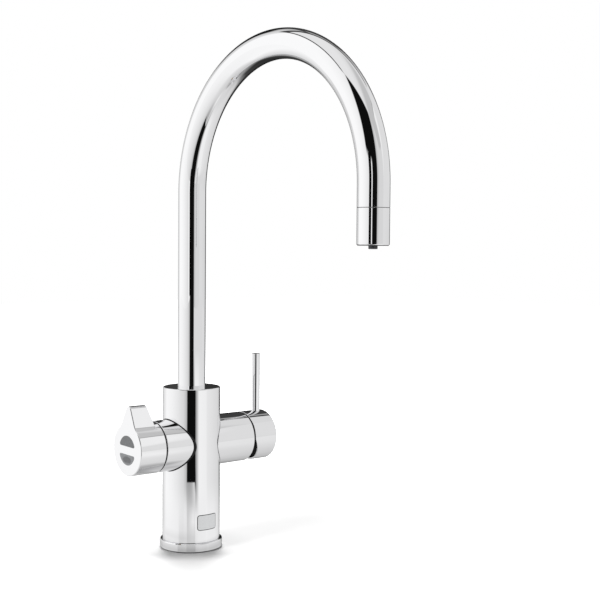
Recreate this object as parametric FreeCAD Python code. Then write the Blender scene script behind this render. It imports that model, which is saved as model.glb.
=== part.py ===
import FreeCAD
import Part
import math
import os

# A deck-mounted kitchen tap in millimetres. +Z is up, the spout points along -Y towards the user, the
# filtered-water knob is on the -X side and the hot and cold mixer on the +X side. The origin is where the
# column's axis meets the deck.

Vector = FreeCAD.Vector
UP = Vector(0, 0, 1)
OUT = Vector(1, 0, 0)
BACK = Vector(0, 1, 0)

# Fits, and how far a cutting tool runs past the face that it cuts
fit_gap = 0.05
running_gap = 0.06
film_gap = 0.05
free_gap = 0.3
cut_over = 1.0

# Hexagon sockets of the grub screws, as shares of the screw's diameter
key_flats_share = 0.5
key_depth_share = 0.6

# Base and column
gasket_inset = 1.5
gasket_width = 7.5
gasket_thickness = 1.0
flange_step = 2.3
flange_height = 7.1
flange_chamfer = 0.7
column_d = 52.0
column_wall = 3.0
column_top_z = 146.6
column_top_wall = 4.0
column_top_round = 1.0
column_foot_chamfer = 0.5

# Badge plate on the front of the column
badge_width = 19.0
badge_height = 13.0
badge_corner = 1.8
badge_centre_z = 26.55
badge_pocket_depth = 0.6
badge_proud = 0.1
badge_outline = 0.3

# Cross axis and what both side branches share
cross_z = 95.4
spigot_d = 34.0
spot_face_depth = 3.0
saddle_gap = 0.3
port_d = 6.0
port_spread = 8.5
inlet_port_drop = 6.0
outlet_port_rise = 9.0
port_seal_width = 1.2
port_seal_thickness = 1.2

# Inlets under the core
inlet_offset_x = 11.0
hose_thread_d = 9.0
hose_thread_depth = 12.0
filter_socket_d = 6.4
filter_socket_depth = 15.0
filter_drill_d = 5.0
stud_thread_d = 6.8
stud_thread_depth = 25.0

# Filtered-water collar and knob
filter_barrel_d = 46.0
collar_length = 14.7
collar_bore_d = 38.2
knob_seam = 1.0
wear_ring_width = 3.0
wear_ring_inset = 0.6
knob_length = 26.5
knob_skirt_wall = 3.0
knob_face_wall = 6.2
knob_edge_round = 0.5
knob_boss_d = 16.0
knob_screw_d = 4.0
knob_screw_from_face = 16.0
wing_reach = 38.7
wing_tip_width = 5.3
wing_tip_round = 4.0
wing_flank_angle = 25.5
wing_root_round = 16.5
wing_lean = 2.7
wing_tip_depth = 16.6
wing_root_depth = 20.6
window_circle_d = 26.2
window_band = 7.0
window_corner = 1.6
window_drop = 0.4
window_lean = 1.0
window_depth = 2.0

# Selector valve inside the collar
gland_recess = 0.3
gland_flange = 2.9
gland_neck_d = 18.0
gland_neck_length = 5.6
selector_play = 0.1
spindle_d = 10.0
spindle_flange_d = 18.0
spindle_flange = 1.4
spindle_flat = 1.0
spindle_seal_section = 1.2
tang_length = 8.0
tang_width = 4.0
selector_moving_disc = 1.95
selector_fixed_disc = 2.0
selector_base_wall = 3.0
selector_cavity_d = 28.0

# Mixer barrel, handle and lever
mixer_barrel_d = 46.0
barrel_length = 29.6
barrel_bore_d = 38.2
handle_seam = 1.0
handle_length = 25.6
handle_edge_round = 1.5
handle_bore_d = 43.0
handle_end_wall = 13.2
handle_boss_d = 17.0
handle_boss_length = 7.0
handle_tilt = 20.0
handle_screw_d = 5.0
handle_screw_length = 8.0
lever_d = 6.0
lever_from_end = 8.2
lever_top_z = 172.8
lever_seat_z = 9.0
lever_edge = 0.4

# Mixer cartridge, built inwards from the barrel's mouth
cartridge_d = 35.0
cartridge_wall = 2.7
cartridge_top_wall = 1.5
cartridge_base_wall = 3.0
cartridge_base_plug = 1.0
cartridge_neck_wall = 2.1
cartridge_neck_inset = 0.5
clamp_nut_inset = 2.1
clamp_slot = 5.0
clamp_slot_depth = 2.0
pivot_inset = 3.6
pivot_pin_d = 4.0
pivot_pin_length = 23.0
stem_width = 8.0
stem_socket_depth = 6.0
stem_arm = 12.0
stem_arm_d = 3.4
stem_ball_d = 6.0
stem_shoulder = 6.8
guide_d = 24.0
guide_flange = 1.5
guide_flange_d = 29.0
guide_end = 0.4
guide_tab_thickness = 3.0
guide_tab_width = 10.0
carrier_d = 23.0
carrier_flat = 7.7
carrier_lip = 3.5
carrier_floor = 0.55
mixer_moving_disc = 1.95
mixer_fixed_disc = 2.5

# Spout
tube_d = 25.0
tube_wall = 1.5
arch_radius = 118.0
spring_z = 321.8
outlet_drop = 18.0
outlet_length = 28.0
outlet_seam = 0.5
outlet_edge_round = 0.8
outlet_spigot_length = 10.0
outlet_spigot_bore_d = 17.0
outlet_seal_rise = 5.0
aerator_d = 21.8
aerator_height = 9.4
aerator_recess = 0.6
aerator_slots = 12
aerator_slot_width = 1.2
aerator_slot_inner_d = 10.0
aerator_slot_outer_d = 19.2
nozzle_d = 7.0
nozzle_proud = 3.0
nozzle_shoulder_rise = 13.0
nozzle_bore_d = 2.2
nozzle_shank_length = 8.0
nozzle_edge = 0.4
inner_tube_d = 6.0
inner_tube_bore_d = 4.0
inner_tube_seat = 8.0
inner_seal_section = 1.8

# Swivel inside the top of the column
swivel_limit = 75.0
socket_depth = 28.0
bush_wall = 1.0
bush_floor = 0.8
lower_bush_height = 4.5
upper_bush_height = 8.0
tail_bore_d = 16.0
tail_spigot_length = 13.0
tube_end_drop = 3.0
swivel_seal_floor = 1.3
swivel_seal_rise = 7.0
swivel_seal_pitch = 4.0
stop_screw_rise = 15.0
stop_screw_d = 5.0
stop_tip_d = 3.2
stop_tip_reach = 1.9
stop_slot_depth = 2.1

# Values worked out from the sizes above
gasket_top_z = gasket_thickness
flange_top_z = gasket_top_z + flange_height
column_r = column_d / 2
flange_r = column_r + flange_step
gasket_r = flange_r - gasket_inset
column_bore_r = column_r - column_wall
core_r = column_bore_r - fit_gap
core_top_z = column_top_z - column_top_wall
seat_x = core_r - spot_face_depth
spigot_r = spigot_d / 2
port_r = port_d / 2

tube_r = tube_d / 2
tube_bore_r = tube_r - tube_wall
outlet_y = -2 * arch_radius
outlet_seam_z = spring_z - outlet_drop
outlet_end_z = outlet_seam_z - outlet_length
socket_r = tube_r + running_gap + bush_wall
socket_floor_z = core_top_z - socket_depth
tail_bottom_z = socket_floor_z + bush_floor + film_gap
tube_end_z = core_top_z - tube_end_drop
stop_z = socket_floor_z + stop_screw_rise

collar_r = filter_barrel_d / 2
collar_mouth = column_r + collar_length
knob_rim = collar_mouth + knob_seam
knob_face = knob_rim + knob_length
knob_floor = knob_face - knob_face_wall
gland_outer = collar_mouth - gland_recess
gland_inner = gland_outer - gland_flange
gland_neck_end = gland_outer + gland_neck_length
spindle_flange_outer = gland_inner - selector_play
moving_disc_outer = spindle_flange_outer - spindle_flange
fixed_disc_outer = moving_disc_outer - selector_moving_disc - film_gap
selector_floor = fixed_disc_outer - selector_fixed_disc
selector_seat = selector_floor - selector_base_wall
spindle_r = spindle_d / 2

barrel_r = mixer_barrel_d / 2
barrel_mouth = column_r + barrel_length
handle_rim = barrel_mouth + handle_seam
handle_face = handle_rim + handle_length
handle_floor = handle_face - handle_end_wall
pivot_x = barrel_mouth - pivot_inset
ball_x = pivot_x - stem_arm
carrier_outer = ball_x + carrier_lip
carrier_inner = ball_x - stem_ball_d / 2 - carrier_floor
mixer_moving_inner = carrier_inner - mixer_moving_disc
mixer_fixed_outer = mixer_moving_inner - film_gap
cartridge_floor = mixer_fixed_outer - mixer_fixed_disc
cartridge_seat = cartridge_floor - cartridge_base_wall
guide_flange_inner = carrier_outer + free_gap
guide_flange_outer = guide_flange_inner + guide_flange
cartridge_top_inner = guide_flange_outer + selector_play
cartridge_shoulder = cartridge_top_inner + cartridge_top_wall
cartridge_r = cartridge_d / 2
cartridge_cavity_r = cartridge_r - cartridge_wall
guide_r = guide_d / 2
tilt = math.radians(handle_tilt)
disc_travel = stem_arm * tilt
lever_x = handle_face - lever_from_end


def rod(start, end, radius):
    """A round bar from one point to another."""
    along = end - start
    return Part.makeCylinder(radius, along.Length, start, along)


def box(low, high):
    """A block from its lowest corner to its highest."""
    size = high - low
    return Part.makeBox(size.x, size.y, size.z, low)


def cross(x, y=0.0, z=0.0):
    """A point given from the cross axis."""
    return Vector(x, y, cross_z + z)


def rounded_face(corners, place):
    """A flat face from (a, b, radius) corners: straight sides, and an arc at each corner with a radius."""
    count = len(corners)
    starts = []
    ends = []
    edges = []
    for i, (a, b, radius) in enumerate(corners):
        here = Vector(a, b, 0)
        before = Vector(corners[i - 1][0], corners[i - 1][1], 0) - here
        after = Vector(corners[(i + 1) % count][0], corners[(i + 1) % count][1], 0) - here
        half = before.getAngle(after) / 2
        before.normalize()
        after.normalize()
        run = radius / math.tan(half)
        starts.append(here + before * run)
        ends.append(here + after * run)
        if radius > 0:
            inward = before + after
            inward.normalize()
            middle = here + inward * (radius / math.sin(half) - radius)
            edges.append(Part.Arc(place(starts[i]), place(middle), place(ends[i])).toShape())
        else:
            edges.append(None)
    loop = []
    for i in range(count):
        if edges[i] is not None:
            loop.append(edges[i])
        begin = place(ends[i])
        finish = place(starts[(i + 1) % count])
        if begin.distanceToPoint(finish) > 1e-7:
            loop.append(Part.LineSegment(begin, finish).toShape())
    return Part.Face(Part.Wire(loop))


def with_rounds(corners):
    """Give a plain (a, b) corner a zero radius."""
    return [c if len(c) == 3 else (c[0], c[1], 0.0) for c in corners]


def turned_upright(corners, axis_y=0.0):
    """Turn a (radius, z) outline about an upright axis on the plane x = 0."""
    face = rounded_face(with_rounds(corners), lambda p: Vector(p.x, axis_y, p.y))
    return face.revolve(Vector(0, axis_y, 0), UP, 360)


def turned_cross(corners):
    """Turn an (x, radius) outline about the cross axis."""
    face = rounded_face(with_rounds(corners), lambda p: cross(p.x, 0, p.y))
    return face.revolve(cross(0), OUT, 360)


def mirrored_profile(corners):
    """Carry an outline of the filter side, given as distances outwards, to the -X side."""
    return [(-c[0],) + tuple(c[1:]) for c in corners]


def upright_ring(outer_r, inner_r, low, high, axis_y=0.0):
    """A plain ring about an upright axis."""
    return turned_upright([(inner_r, low), (outer_r, low), (outer_r, high), (inner_r, high)], axis_y)


def cross_ring(outer_r, inner_r, near, far):
    """A plain ring about the cross axis."""
    return turned_cross([(near, inner_r), (near, outer_r), (far, outer_r), (far, inner_r)])


def hex_key(start, outwards, screw_d):
    """The hexagon socket of a grub screw, to cut from its outer end."""
    reach = screw_d * key_flats_share / 2 / math.cos(math.radians(30))
    side = UP if abs(outwards.z) < 0.5 else OUT
    points = []
    for i in range(6):
        turn = FreeCAD.Rotation(outwards, 60 * i)
        points.append(start + turn.multVec(side) * reach)
    outline = Part.makePolygon(points + points[:1])
    return Part.Face(outline).extrude(outwards * -(screw_d * key_depth_share))


def ports(near, far, radius):
    """The two inlets and the outlet of a branch, drilled along the cross axis."""
    spots = [(-port_spread, -inlet_port_drop), (port_spread, -inlet_port_drop), (0.0, outlet_port_rise)]
    return [rod(cross(near, y, z), cross(far, y, z), radius) for y, z in spots]


# Base and column


def deck_gasket():
    return upright_ring(gasket_r, gasket_r - gasket_width, 0, gasket_thickness)


def base_flange():
    return turned_upright([
        (column_bore_r, gasket_top_z),
        (flange_r, gasket_top_z),
        (flange_r, flange_top_z - flange_chamfer),
        (flange_r - flange_chamfer, flange_top_z),
        (column_bore_r, flange_top_z),
    ])


def badge_block(inner_r, outer_r, spread):
    """A curved rounded plate on the front of the column, wider by spread on every side."""
    half_w = badge_width / 2 + spread
    half_h = badge_height / 2 + spread
    corner = badge_corner + spread
    corners = [
        (-half_w, -half_h, corner),
        (half_w, -half_h, corner),
        (half_w, half_h, corner),
        (-half_w, half_h, corner),
    ]
    face = rounded_face(corners, lambda p: Vector(p.x, 0, badge_centre_z + p.y))
    prism = face.extrude(BACK * -column_d)
    return upright_ring(outer_r, inner_r, 0, column_top_z).common(prism)


def column():
    sleeve = turned_upright([
        (column_bore_r, flange_top_z),
        (column_r - column_foot_chamfer, flange_top_z),
        (column_r, flange_top_z + column_foot_chamfer),
        (column_r, column_top_z, column_top_round),
        (tube_r + running_gap, column_top_z),
        (tube_r + running_gap, core_top_z),
        (column_bore_r, core_top_z),
    ])
    side_hole = rod(cross(-column_d), cross(column_d), spigot_r + fit_gap)
    screw_hole = rod(Vector(0, 0, stop_z), Vector(0, column_d, stop_z), stop_screw_d / 2 + fit_gap)
    pocket = badge_block(column_r - badge_pocket_depth, column_d, badge_outline)
    return sleeve.cut([side_hole, screw_hole, pocket])


def badge_plate():
    return badge_block(column_r - badge_pocket_depth, column_r + badge_proud, 0)


def waterway_core():
    body = turned_upright([(0, gasket_top_z), (core_r, gasket_top_z), (core_r, core_top_z), (0, core_top_z)])
    cuts = [
        rod(Vector(0, 0, socket_floor_z), Vector(0, 0, column_top_z), socket_r),
        rod(cross(seat_x), cross(column_d), spigot_r + fit_gap),
        rod(cross(-seat_x), cross(-column_d), spigot_r + fit_gap),
        rod(Vector(0, 0, stop_z), Vector(0, column_d, stop_z), stop_screw_d / 2 + fit_gap),
        rod(Vector(0, 0, 0), Vector(0, 0, gasket_top_z + stud_thread_depth), stud_thread_d / 2),
    ]
    inlet_z = cross_z - inlet_port_drop
    outlet_z = cross_z + outlet_port_rise
    for y in (-port_spread, port_spread):
        hose = Vector(inlet_offset_x, y, 0)
        filtered = Vector(-inlet_offset_x, y, 0)
        rise = UP * inlet_z
        cuts.append(rod(hose, hose + UP * (gasket_top_z + hose_thread_depth), hose_thread_d / 2))
        cuts.append(rod(hose, hose + rise, port_r))
        cuts.append(rod(hose + rise, Vector(column_d, y, inlet_z), port_r))
        cuts.append(rod(filtered, filtered + UP * (gasket_top_z + filter_socket_depth), filter_socket_d / 2))
        cuts.append(rod(filtered, filtered + rise, filter_drill_d / 2))
        cuts.append(rod(filtered + rise, Vector(-column_d, y, inlet_z), port_r))
    crossing_x = inner_tube_d / 2 + port_d
    crossing = Vector(crossing_x, 0, outlet_z)
    cuts.append(rod(crossing, Vector(column_d, 0, outlet_z), port_r))
    cuts.append(rod(crossing, Vector(crossing_x, 0, socket_floor_z + bush_floor), port_r))
    cuts.append(rod(Vector(0, 0, outlet_z), Vector(-column_d, 0, outlet_z), port_r))
    seat_bottom = socket_floor_z - inner_tube_seat
    cuts.append(rod(Vector(0, 0, seat_bottom), Vector(0, 0, column_top_z), inner_tube_d / 2 + running_gap))
    cuts.append(rod(Vector(0, 0, outlet_z), Vector(0, 0, column_top_z), inner_tube_bore_d / 2))
    cuts.append(inner_seal_groove())
    return body.cut(cuts)


def branch_sleeve(outer_r, bore_r, floor, mouth, side):
    """A side branch: a barrel saddled to the column, a drilled floor and a spigot screwed into the core."""
    barrel = turned_cross([(0, 0), (0, outer_r), (side * mouth, outer_r), (side * mouth, 0)])
    saddle = rod(Vector(0, 0, 0), Vector(0, 0, column_top_z + outer_r), column_r + saddle_gap)
    bore = rod(cross(side * floor), cross(side * (mouth + outer_r)), bore_r)
    spigot = rod(cross(side * seat_x), cross(side * floor), spigot_r)
    return barrel.cut(saddle).fuse(spigot).cut([bore] + ports(0, side * mouth, port_r)).removeSplitter()


def port_seals(seat, side):
    """Three flat rings, each let into the valve's underside round a port."""
    far = seat + port_seal_thickness
    rings = []
    for outer, hole in zip(ports(side * seat, side * far, port_r + port_seal_width),
                           ports(side * seat, side * far, port_r)):
        rings.append(outer.cut(hole))
    return Part.makeCompound(rings)


def seal_pockets(seat, side):
    """The pockets for the port seals, and the ports behind them."""
    far = seat + port_seal_thickness
    return ports(side * seat, side * far, port_r + port_seal_width + fit_gap)


# Filtered-water side


def filter_collar():
    return branch_sleeve(collar_r, collar_bore_d / 2, selector_seat, collar_mouth, -1)


def knob_wear_ring():
    outer = collar_r - wear_ring_inset
    return cross_ring(outer, outer - wear_ring_width, -collar_mouth, -(knob_rim - free_gap))


def selector_housing():
    outer = collar_bore_d / 2 - fit_gap
    cavity = selector_cavity_d / 2
    cup = turned_cross(mirrored_profile([
        (selector_seat, 0),
        (selector_seat, outer),
        (gland_inner, outer),
        (gland_inner, cavity),
        (selector_floor, cavity),
        (selector_floor, 0),
    ]))
    return cup.cut(seal_pockets(selector_seat, -1) + ports(0, -gland_inner, port_r))


def selector_fixed_disc_plate():
    plate = rod(cross(-selector_floor), cross(-fixed_disc_outer), selector_cavity_d / 2 - fit_gap)
    return plate.cut(ports(0, -gland_inner, port_r))


def selector_moving_disc_plate():
    inner = fixed_disc_outer + film_gap
    plate = rod(cross(-inner), cross(-moving_disc_outer), selector_cavity_d / 2 - free_gap)
    half_l = tang_length / 2 + fit_gap
    half_w = tang_width / 2 + fit_gap
    slot = box(cross(-moving_disc_outer, -half_l, -half_w), cross(-inner, half_l, half_w))
    passage = rod(cross(-inner, 0, outlet_port_rise), cross(-moving_disc_outer, 0, outlet_port_rise), port_r)
    return plate.cut([slot, passage])


def selector_gland_nut():
    outer = collar_bore_d / 2 - fit_gap
    neck = gland_neck_d / 2
    bore = spindle_r + running_gap
    nut = turned_cross(mirrored_profile([
        (gland_inner, bore),
        (gland_inner, outer),
        (gland_outer, outer),
        (gland_outer, neck),
        (gland_neck_end, neck),
        (gland_neck_end, bore),
    ]))
    return nut.cut(spanner_slots(-gland_outer, outer, neck, 1))


def spanner_slots(face_x, outer_r, inner_r, inwards):
    """Four notches across a ring nut's outer face for a pin spanner; inwards is the way into it along X."""
    deep = face_x + inwards * clamp_slot_depth
    low_x = min(face_x, deep)
    high_x = max(face_x, deep)
    half = clamp_slot / 2
    middle = (outer_r + inner_r) / 2
    slots = []
    for turn in range(4):
        slot = box(cross(low_x, -half, middle), cross(high_x, half, outer_r + half))
        slot.rotate(cross(0), OUT, 90 * turn)
        slots.append(slot)
    return slots


def spindle_seal_centre():
    return (gland_inner + gland_neck_end) / 2


def selector_spindle():
    flange = spindle_flange_d / 2
    end = knob_floor - free_gap
    shaft = turned_cross(mirrored_profile([
        (moving_disc_outer, 0),
        (moving_disc_outer, flange),
        (spindle_flange_outer, flange),
        (spindle_flange_outer, spindle_r),
        (end, spindle_r),
        (end, 0),
    ]))
    tang_inner = fixed_disc_outer + film_gap + free_gap
    half_l = tang_length / 2
    half_w = tang_width / 2
    tang = box(cross(-moving_disc_outer, -half_l, -half_w), cross(-tang_inner, half_l, half_w))
    middle = spindle_seal_centre()
    half = spindle_seal_section / 2 + fit_gap
    groove_floor = spindle_r - spindle_seal_section + 2 * fit_gap
    groove = cross_ring(spindle_d, groove_floor, -(middle - half), -(middle + half))
    flat_start = gland_neck_end + free_gap
    flat_low = cross(-(end + cut_over), -spindle_d, -spindle_d)
    flat = box(flat_low, cross(-flat_start, spindle_d, spindle_flat - spindle_r))
    return shaft.fuse(tang).cut([groove, flat]).removeSplitter()


def spindle_seal():
    section = spindle_seal_section / 2 - fit_gap
    middle_r = spindle_r - spindle_seal_section / 2 + fit_gap
    return Part.makeTorus(middle_r, section, cross(-spindle_seal_centre()), OUT)


def wing_outline():
    """The thumb wing across the knob: a rounded tip, straight flanks and hollow roots into the round."""
    flank = math.radians(wing_flank_angle)
    tip = Vector(wing_tip_width / 2, wing_reach, 0)
    along = Vector(math.sin(flank), -math.cos(flank), 0)
    outward = Vector(math.cos(flank), math.sin(flank), 0)
    start = tip + outward * wing_root_round
    span = collar_r + wing_root_round
    reach = start.dot(along)
    centre = start - along * (reach + math.sqrt(reach ** 2 - start.dot(start) + span ** 2))
    upper = centre - outward * wing_root_round
    to_axis = Vector(-centre.x, -centre.y, 0)
    to_axis.normalize()
    lower = centre + to_axis * wing_root_round
    bisector = (upper - centre) + (lower - centre)
    bisector.normalize()
    middle = centre + bisector * wing_root_round
    setback = wing_tip_round * math.tan((math.pi / 2 - flank) / 2)
    shoulder = tip + along * setback
    crest = tip - Vector(setback, 0, 0)
    outward_up = outward + Vector(0, 1, 0)
    outward_up.normalize()
    nose = crest - Vector(0, wing_tip_round, 0) + outward_up * wing_tip_round
    return crest, nose, shoulder, upper, middle, lower


def wing_prism():
    """The wing's outline carried from the knob's face to its root depth."""
    crest, nose, shoulder, upper, middle, lower = wing_outline()

    def at(point, side):
        return cross(-knob_face, side * point.x, point.y)

    edges = [
        Part.LineSegment(at(crest, -1), at(crest, 1)).toShape(),
        Part.Arc(at(crest, 1), at(nose, 1), at(shoulder, 1)).toShape(),
        Part.LineSegment(at(shoulder, 1), at(upper, 1)).toShape(),
        Part.Arc(at(upper, 1), at(middle, 1), at(lower, 1)).toShape(),
        Part.LineSegment(at(lower, 1), cross(-knob_face)).toShape(),
        Part.LineSegment(cross(-knob_face), at(lower, -1)).toShape(),
        Part.Arc(at(lower, -1), at(middle, -1), at(upper, -1)).toShape(),
        Part.LineSegment(at(upper, -1), at(shoulder, -1)).toShape(),
        Part.Arc(at(shoulder, -1), at(nose, -1), at(crest, -1)).toShape(),
    ]
    prism = Part.Face(Part.Wire(edges)).extrude(OUT * wing_root_depth)
    root_x = -knob_face + wing_root_depth
    tip_x = -knob_face + wing_tip_depth
    slope = (root_x - tip_x) / (wing_reach - collar_r)
    beyond = wing_reach + wing_tip_width
    trim = rounded_face(
        [(root_x, collar_r, 0), (root_x + beyond, collar_r, 0), (root_x + beyond, beyond, 0),
         (tip_x - slope * wing_tip_width, beyond, 0)],
        lambda p: cross(p.x, -beyond, p.y))
    wing = prism.cut(trim.extrude(BACK * 2 * beyond))
    wing.rotate(cross(0), OUT, wing_lean)
    return wing


def window_face(sign, spread):
    """One segment of the window circle above (1) or below (-1) the middle band, on the knob's face."""
    radius = window_circle_d / 2 + spread
    level = window_band / 2 - spread
    corner = window_corner
    inner = radius - corner
    centre_y = math.sqrt(inner ** 2 - (level + corner) ** 2)
    lean = math.atan2(level + corner, centre_y)

    def at(y, z):
        return cross(-knob_face, y, sign * z - window_drop)

    def around(side, angle):
        y = side * (centre_y + corner * math.cos(angle))
        return at(y, level + corner + corner * math.sin(angle))

    edges = [Part.LineSegment(at(-centre_y, level), at(centre_y, level)).toShape()]
    right = (around(1, -math.pi / 2), around(1, (lean - math.pi / 2) / 2), around(1, lean))
    left = (around(-1, lean), around(-1, (lean - math.pi / 2) / 2), around(-1, -math.pi / 2))
    edges.append(Part.Arc(*right).toShape())
    edges.append(Part.Arc(right[2], at(0, radius), left[0]).toShape())
    edges.append(Part.Arc(*left).toShape())
    return Part.Face(Part.Wire(edges))


def knob_window(sign):
    pane = window_face(sign, 0).extrude(OUT * window_depth)
    pane.rotate(cross(0), OUT, window_lean)
    return pane


def filter_knob():
    round_body = rod(cross(-knob_face), cross(-knob_rim), collar_r)
    body = round_body.fuse(wing_prism()).removeSplitter()
    front = [e for e in body.Edges if all(abs(v.X + knob_face) < 1e-6 for v in e.Vertexes)
             and abs(e.CenterOfMass.x + knob_face) < 1e-6]
    body = body.makeChamfer(knob_edge_round, front)
    skirt_r = collar_r - knob_skirt_wall
    boss_r = knob_boss_d / 2
    boss_start = gland_neck_end + free_gap
    hollow = turned_cross(mirrored_profile([
        (knob_rim - cut_over, 0),
        (knob_rim - cut_over, skirt_r),
        (knob_floor, skirt_r),
        (knob_floor, boss_r),
        (boss_start, boss_r),
        (boss_start, 0),
    ]))
    flat_z = spindle_flat - spindle_r
    bore = rod(cross(-knob_rim), cross(-knob_floor), spindle_r + fit_gap)
    bore = bore.cut(box(cross(-knob_face, -spindle_d, -spindle_d), cross(0, spindle_d, flat_z - fit_gap)))
    screw_x = knob_screw_from_face - knob_face
    screw_hole = rod(cross(screw_x, 0, 0), cross(screw_x, 0, -2 * collar_r), knob_screw_d / 2 + fit_gap)
    pockets = []
    for sign in (1, -1):
        pocket = window_face(sign, fit_gap).extrude(OUT * window_depth)
        pocket.rotate(cross(0), OUT, window_lean)
        pockets.append(pocket)
    return body.cut([hollow, bore, screw_hole] + pockets)


def knob_set_screw():
    screw_x = knob_screw_from_face - knob_face
    top = cross(screw_x, 0, spindle_flat - spindle_r - fit_gap)
    bottom = cross(screw_x, 0, -knob_boss_d / 2)
    return rod(bottom, top, knob_screw_d / 2).cut(hex_key(bottom, UP * -1, knob_screw_d))


# Mixer side


def mixer_barrel():
    return branch_sleeve(barrel_r, barrel_bore_d / 2, cartridge_seat, barrel_mouth, 1)


def cartridge_base():
    plug_r = cartridge_cavity_r - fit_gap
    step = cartridge_floor - cartridge_base_plug
    base = turned_cross([
        (cartridge_seat, 0),
        (cartridge_seat, cartridge_r),
        (step, cartridge_r),
        (step, plug_r),
        (cartridge_floor, plug_r),
        (cartridge_floor, 0),
    ])
    return base.cut(seal_pockets(cartridge_seat, 1) + ports(0, barrel_mouth, port_r))


def cartridge_housing():
    step = cartridge_floor - cartridge_base_plug
    neck_bore = guide_r + running_gap
    neck_end = pivot_x - cartridge_neck_inset
    return turned_cross([
        (step, cartridge_cavity_r),
        (step, cartridge_r),
        (cartridge_shoulder, cartridge_r),
        (cartridge_shoulder, neck_bore + cartridge_neck_wall),
        (neck_end, neck_bore + cartridge_neck_wall),
        (neck_end, neck_bore),
        (cartridge_top_inner, neck_bore),
        (cartridge_top_inner, cartridge_cavity_r),
    ])


def mixer_fixed_disc_plate():
    plate = rod(cross(cartridge_floor), cross(mixer_fixed_outer), cartridge_cavity_r - fit_gap)
    return plate.cut(ports(0, barrel_mouth, port_r))


def cartridge_clamp_nut():
    outer = barrel_bore_d / 2 - fit_gap
    inner = guide_r + running_gap + cartridge_neck_wall + fit_gap
    face = barrel_mouth - clamp_nut_inset
    return cross_ring(outer, inner, cartridge_shoulder, face).cut(spanner_slots(face, outer, inner, -1))


def carrier_outline(near, far, flat):
    """A round plate with two flat sides, half its travel below the cross axis when the tap is shut."""
    low = -disc_travel / 2
    plate = rod(cross(near, 0, low), cross(far, 0, low), carrier_d / 2)
    return plate.common(box(cross(near, -flat, -carrier_d), cross(far, flat, carrier_d)))


def mixer_moving_disc_plate():
    plate = carrier_outline(mixer_moving_inner, carrier_inner, carrier_flat)
    passage = rod(cross(mixer_moving_inner), cross(carrier_inner), port_r)
    return plate.cut(passage)


def disc_carrier():
    body = carrier_outline(carrier_inner, carrier_outer, carrier_flat)
    socket_start = carrier_inner + carrier_floor / 2
    return body.cut(rod(cross(socket_start), cross(carrier_outer), stem_ball_d / 2 + free_gap))


def lever_guide():
    end = barrel_mouth + guide_end
    body = turned_cross([
        (guide_flange_inner, 0),
        (guide_flange_inner, guide_flange_d / 2),
        (guide_flange_outer, guide_flange_d / 2),
        (guide_flange_outer, guide_r),
        (end, guide_r),
        (end, 0),
    ])
    tab_start = carrier_inner + carrier_floor
    near_y = carrier_flat + free_gap
    far_y = near_y + guide_tab_thickness
    half = guide_tab_width / 2
    tabs = [
        box(cross(tab_start, near_y, -half), cross(guide_flange_outer, far_y, half)),
        box(cross(tab_start, -far_y, -half), cross(guide_flange_outer, -near_y, half)),
    ]
    room = stem_width / 2 / math.cos(tilt) + free_gap
    slot_low = room + (end - pivot_x) * math.tan(tilt)
    slot_high = room + stem_shoulder * math.tan(tilt)
    side = stem_width / 2 + 2 * fit_gap
    slot = box(cross(carrier_inner, -side, -slot_low), cross(end, side, slot_high))
    pin_hole = rod(cross(pivot_x, -guide_d), cross(pivot_x, guide_d), pivot_pin_d / 2 + fit_gap)
    return body.fuse(tabs).cut([slot, pin_hole]).removeSplitter()


def lever_pivot_pin():
    half = pivot_pin_length / 2
    return rod(cross(pivot_x, -half), cross(pivot_x, half), pivot_pin_d / 2)


def mixer_stem():
    half = stem_width / 2
    stem_end = handle_floor + stem_socket_depth
    bar = box(cross(pivot_x - stem_shoulder, -half, -half), cross(stem_end, half, half))
    arm = rod(cross(ball_x), cross(pivot_x - stem_shoulder), stem_arm_d / 2)
    ball = Part.makeSphere(stem_ball_d / 2, cross(ball_x))
    pin_hole = rod(cross(pivot_x, -stem_width), cross(pivot_x, stem_width), pivot_pin_d / 2 + running_gap)
    return bar.fuse([arm, ball]).cut(pin_hole).removeSplitter()


def mixer_handle():
    boss_r = handle_boss_d / 2
    boss_start = handle_floor - handle_boss_length
    body = turned_cross([
        (handle_rim, handle_bore_d / 2),
        (handle_rim, barrel_r),
        (handle_face, barrel_r, handle_edge_round),
        (handle_face, 0),
        (boss_start, 0),
        (boss_start, boss_r),
        (handle_floor, boss_r),
        (handle_floor, handle_bore_d / 2),
    ])
    deep = barrel_r + cut_over
    before = handle_rim - cut_over
    slant_end = handle_rim + deep * math.tan(tilt)
    wedge_face = rounded_face(
        [(before, 0, 0), (handle_rim, 0, 0), (slant_end, -deep, 0), (before, -deep, 0)],
        lambda p: cross(p.x, -deep, p.y))
    wedge = wedge_face.extrude(BACK * 2 * deep)
    half = stem_width / 2 + fit_gap
    socket_end = handle_floor + stem_socket_depth
    socket = box(cross(boss_start, -half, -half), cross(socket_end, half, half))
    lever_hole = rod(cross(lever_x, 0, lever_seat_z), cross(lever_x, 0, 2 * barrel_r), lever_d / 2 + fit_gap)
    screw_x = handle_floor + handle_screw_d / 2
    screw_hole = rod(cross(screw_x), cross(screw_x, 0, -2 * barrel_r), handle_screw_d / 2 + fit_gap)
    return body.cut([wedge, socket, lever_hole, screw_hole])


def handle_set_screw():
    screw_x = handle_floor + handle_screw_d / 2
    top = cross(screw_x, 0, -stem_width / 2 - fit_gap)
    bottom = top - UP * handle_screw_length
    return rod(bottom, top, handle_screw_d / 2).cut(hex_key(bottom, UP * -1, handle_screw_d))


def pin_lever():
    lever = turned_upright([
        (0, cross_z + lever_seat_z),
        (lever_d / 2, cross_z + lever_seat_z),
        (lever_d / 2, lever_top_z, lever_edge),
        (0, lever_top_z),
    ])
    lever.translate(OUT * lever_x)
    return lever


# Spout and its swivel


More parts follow.
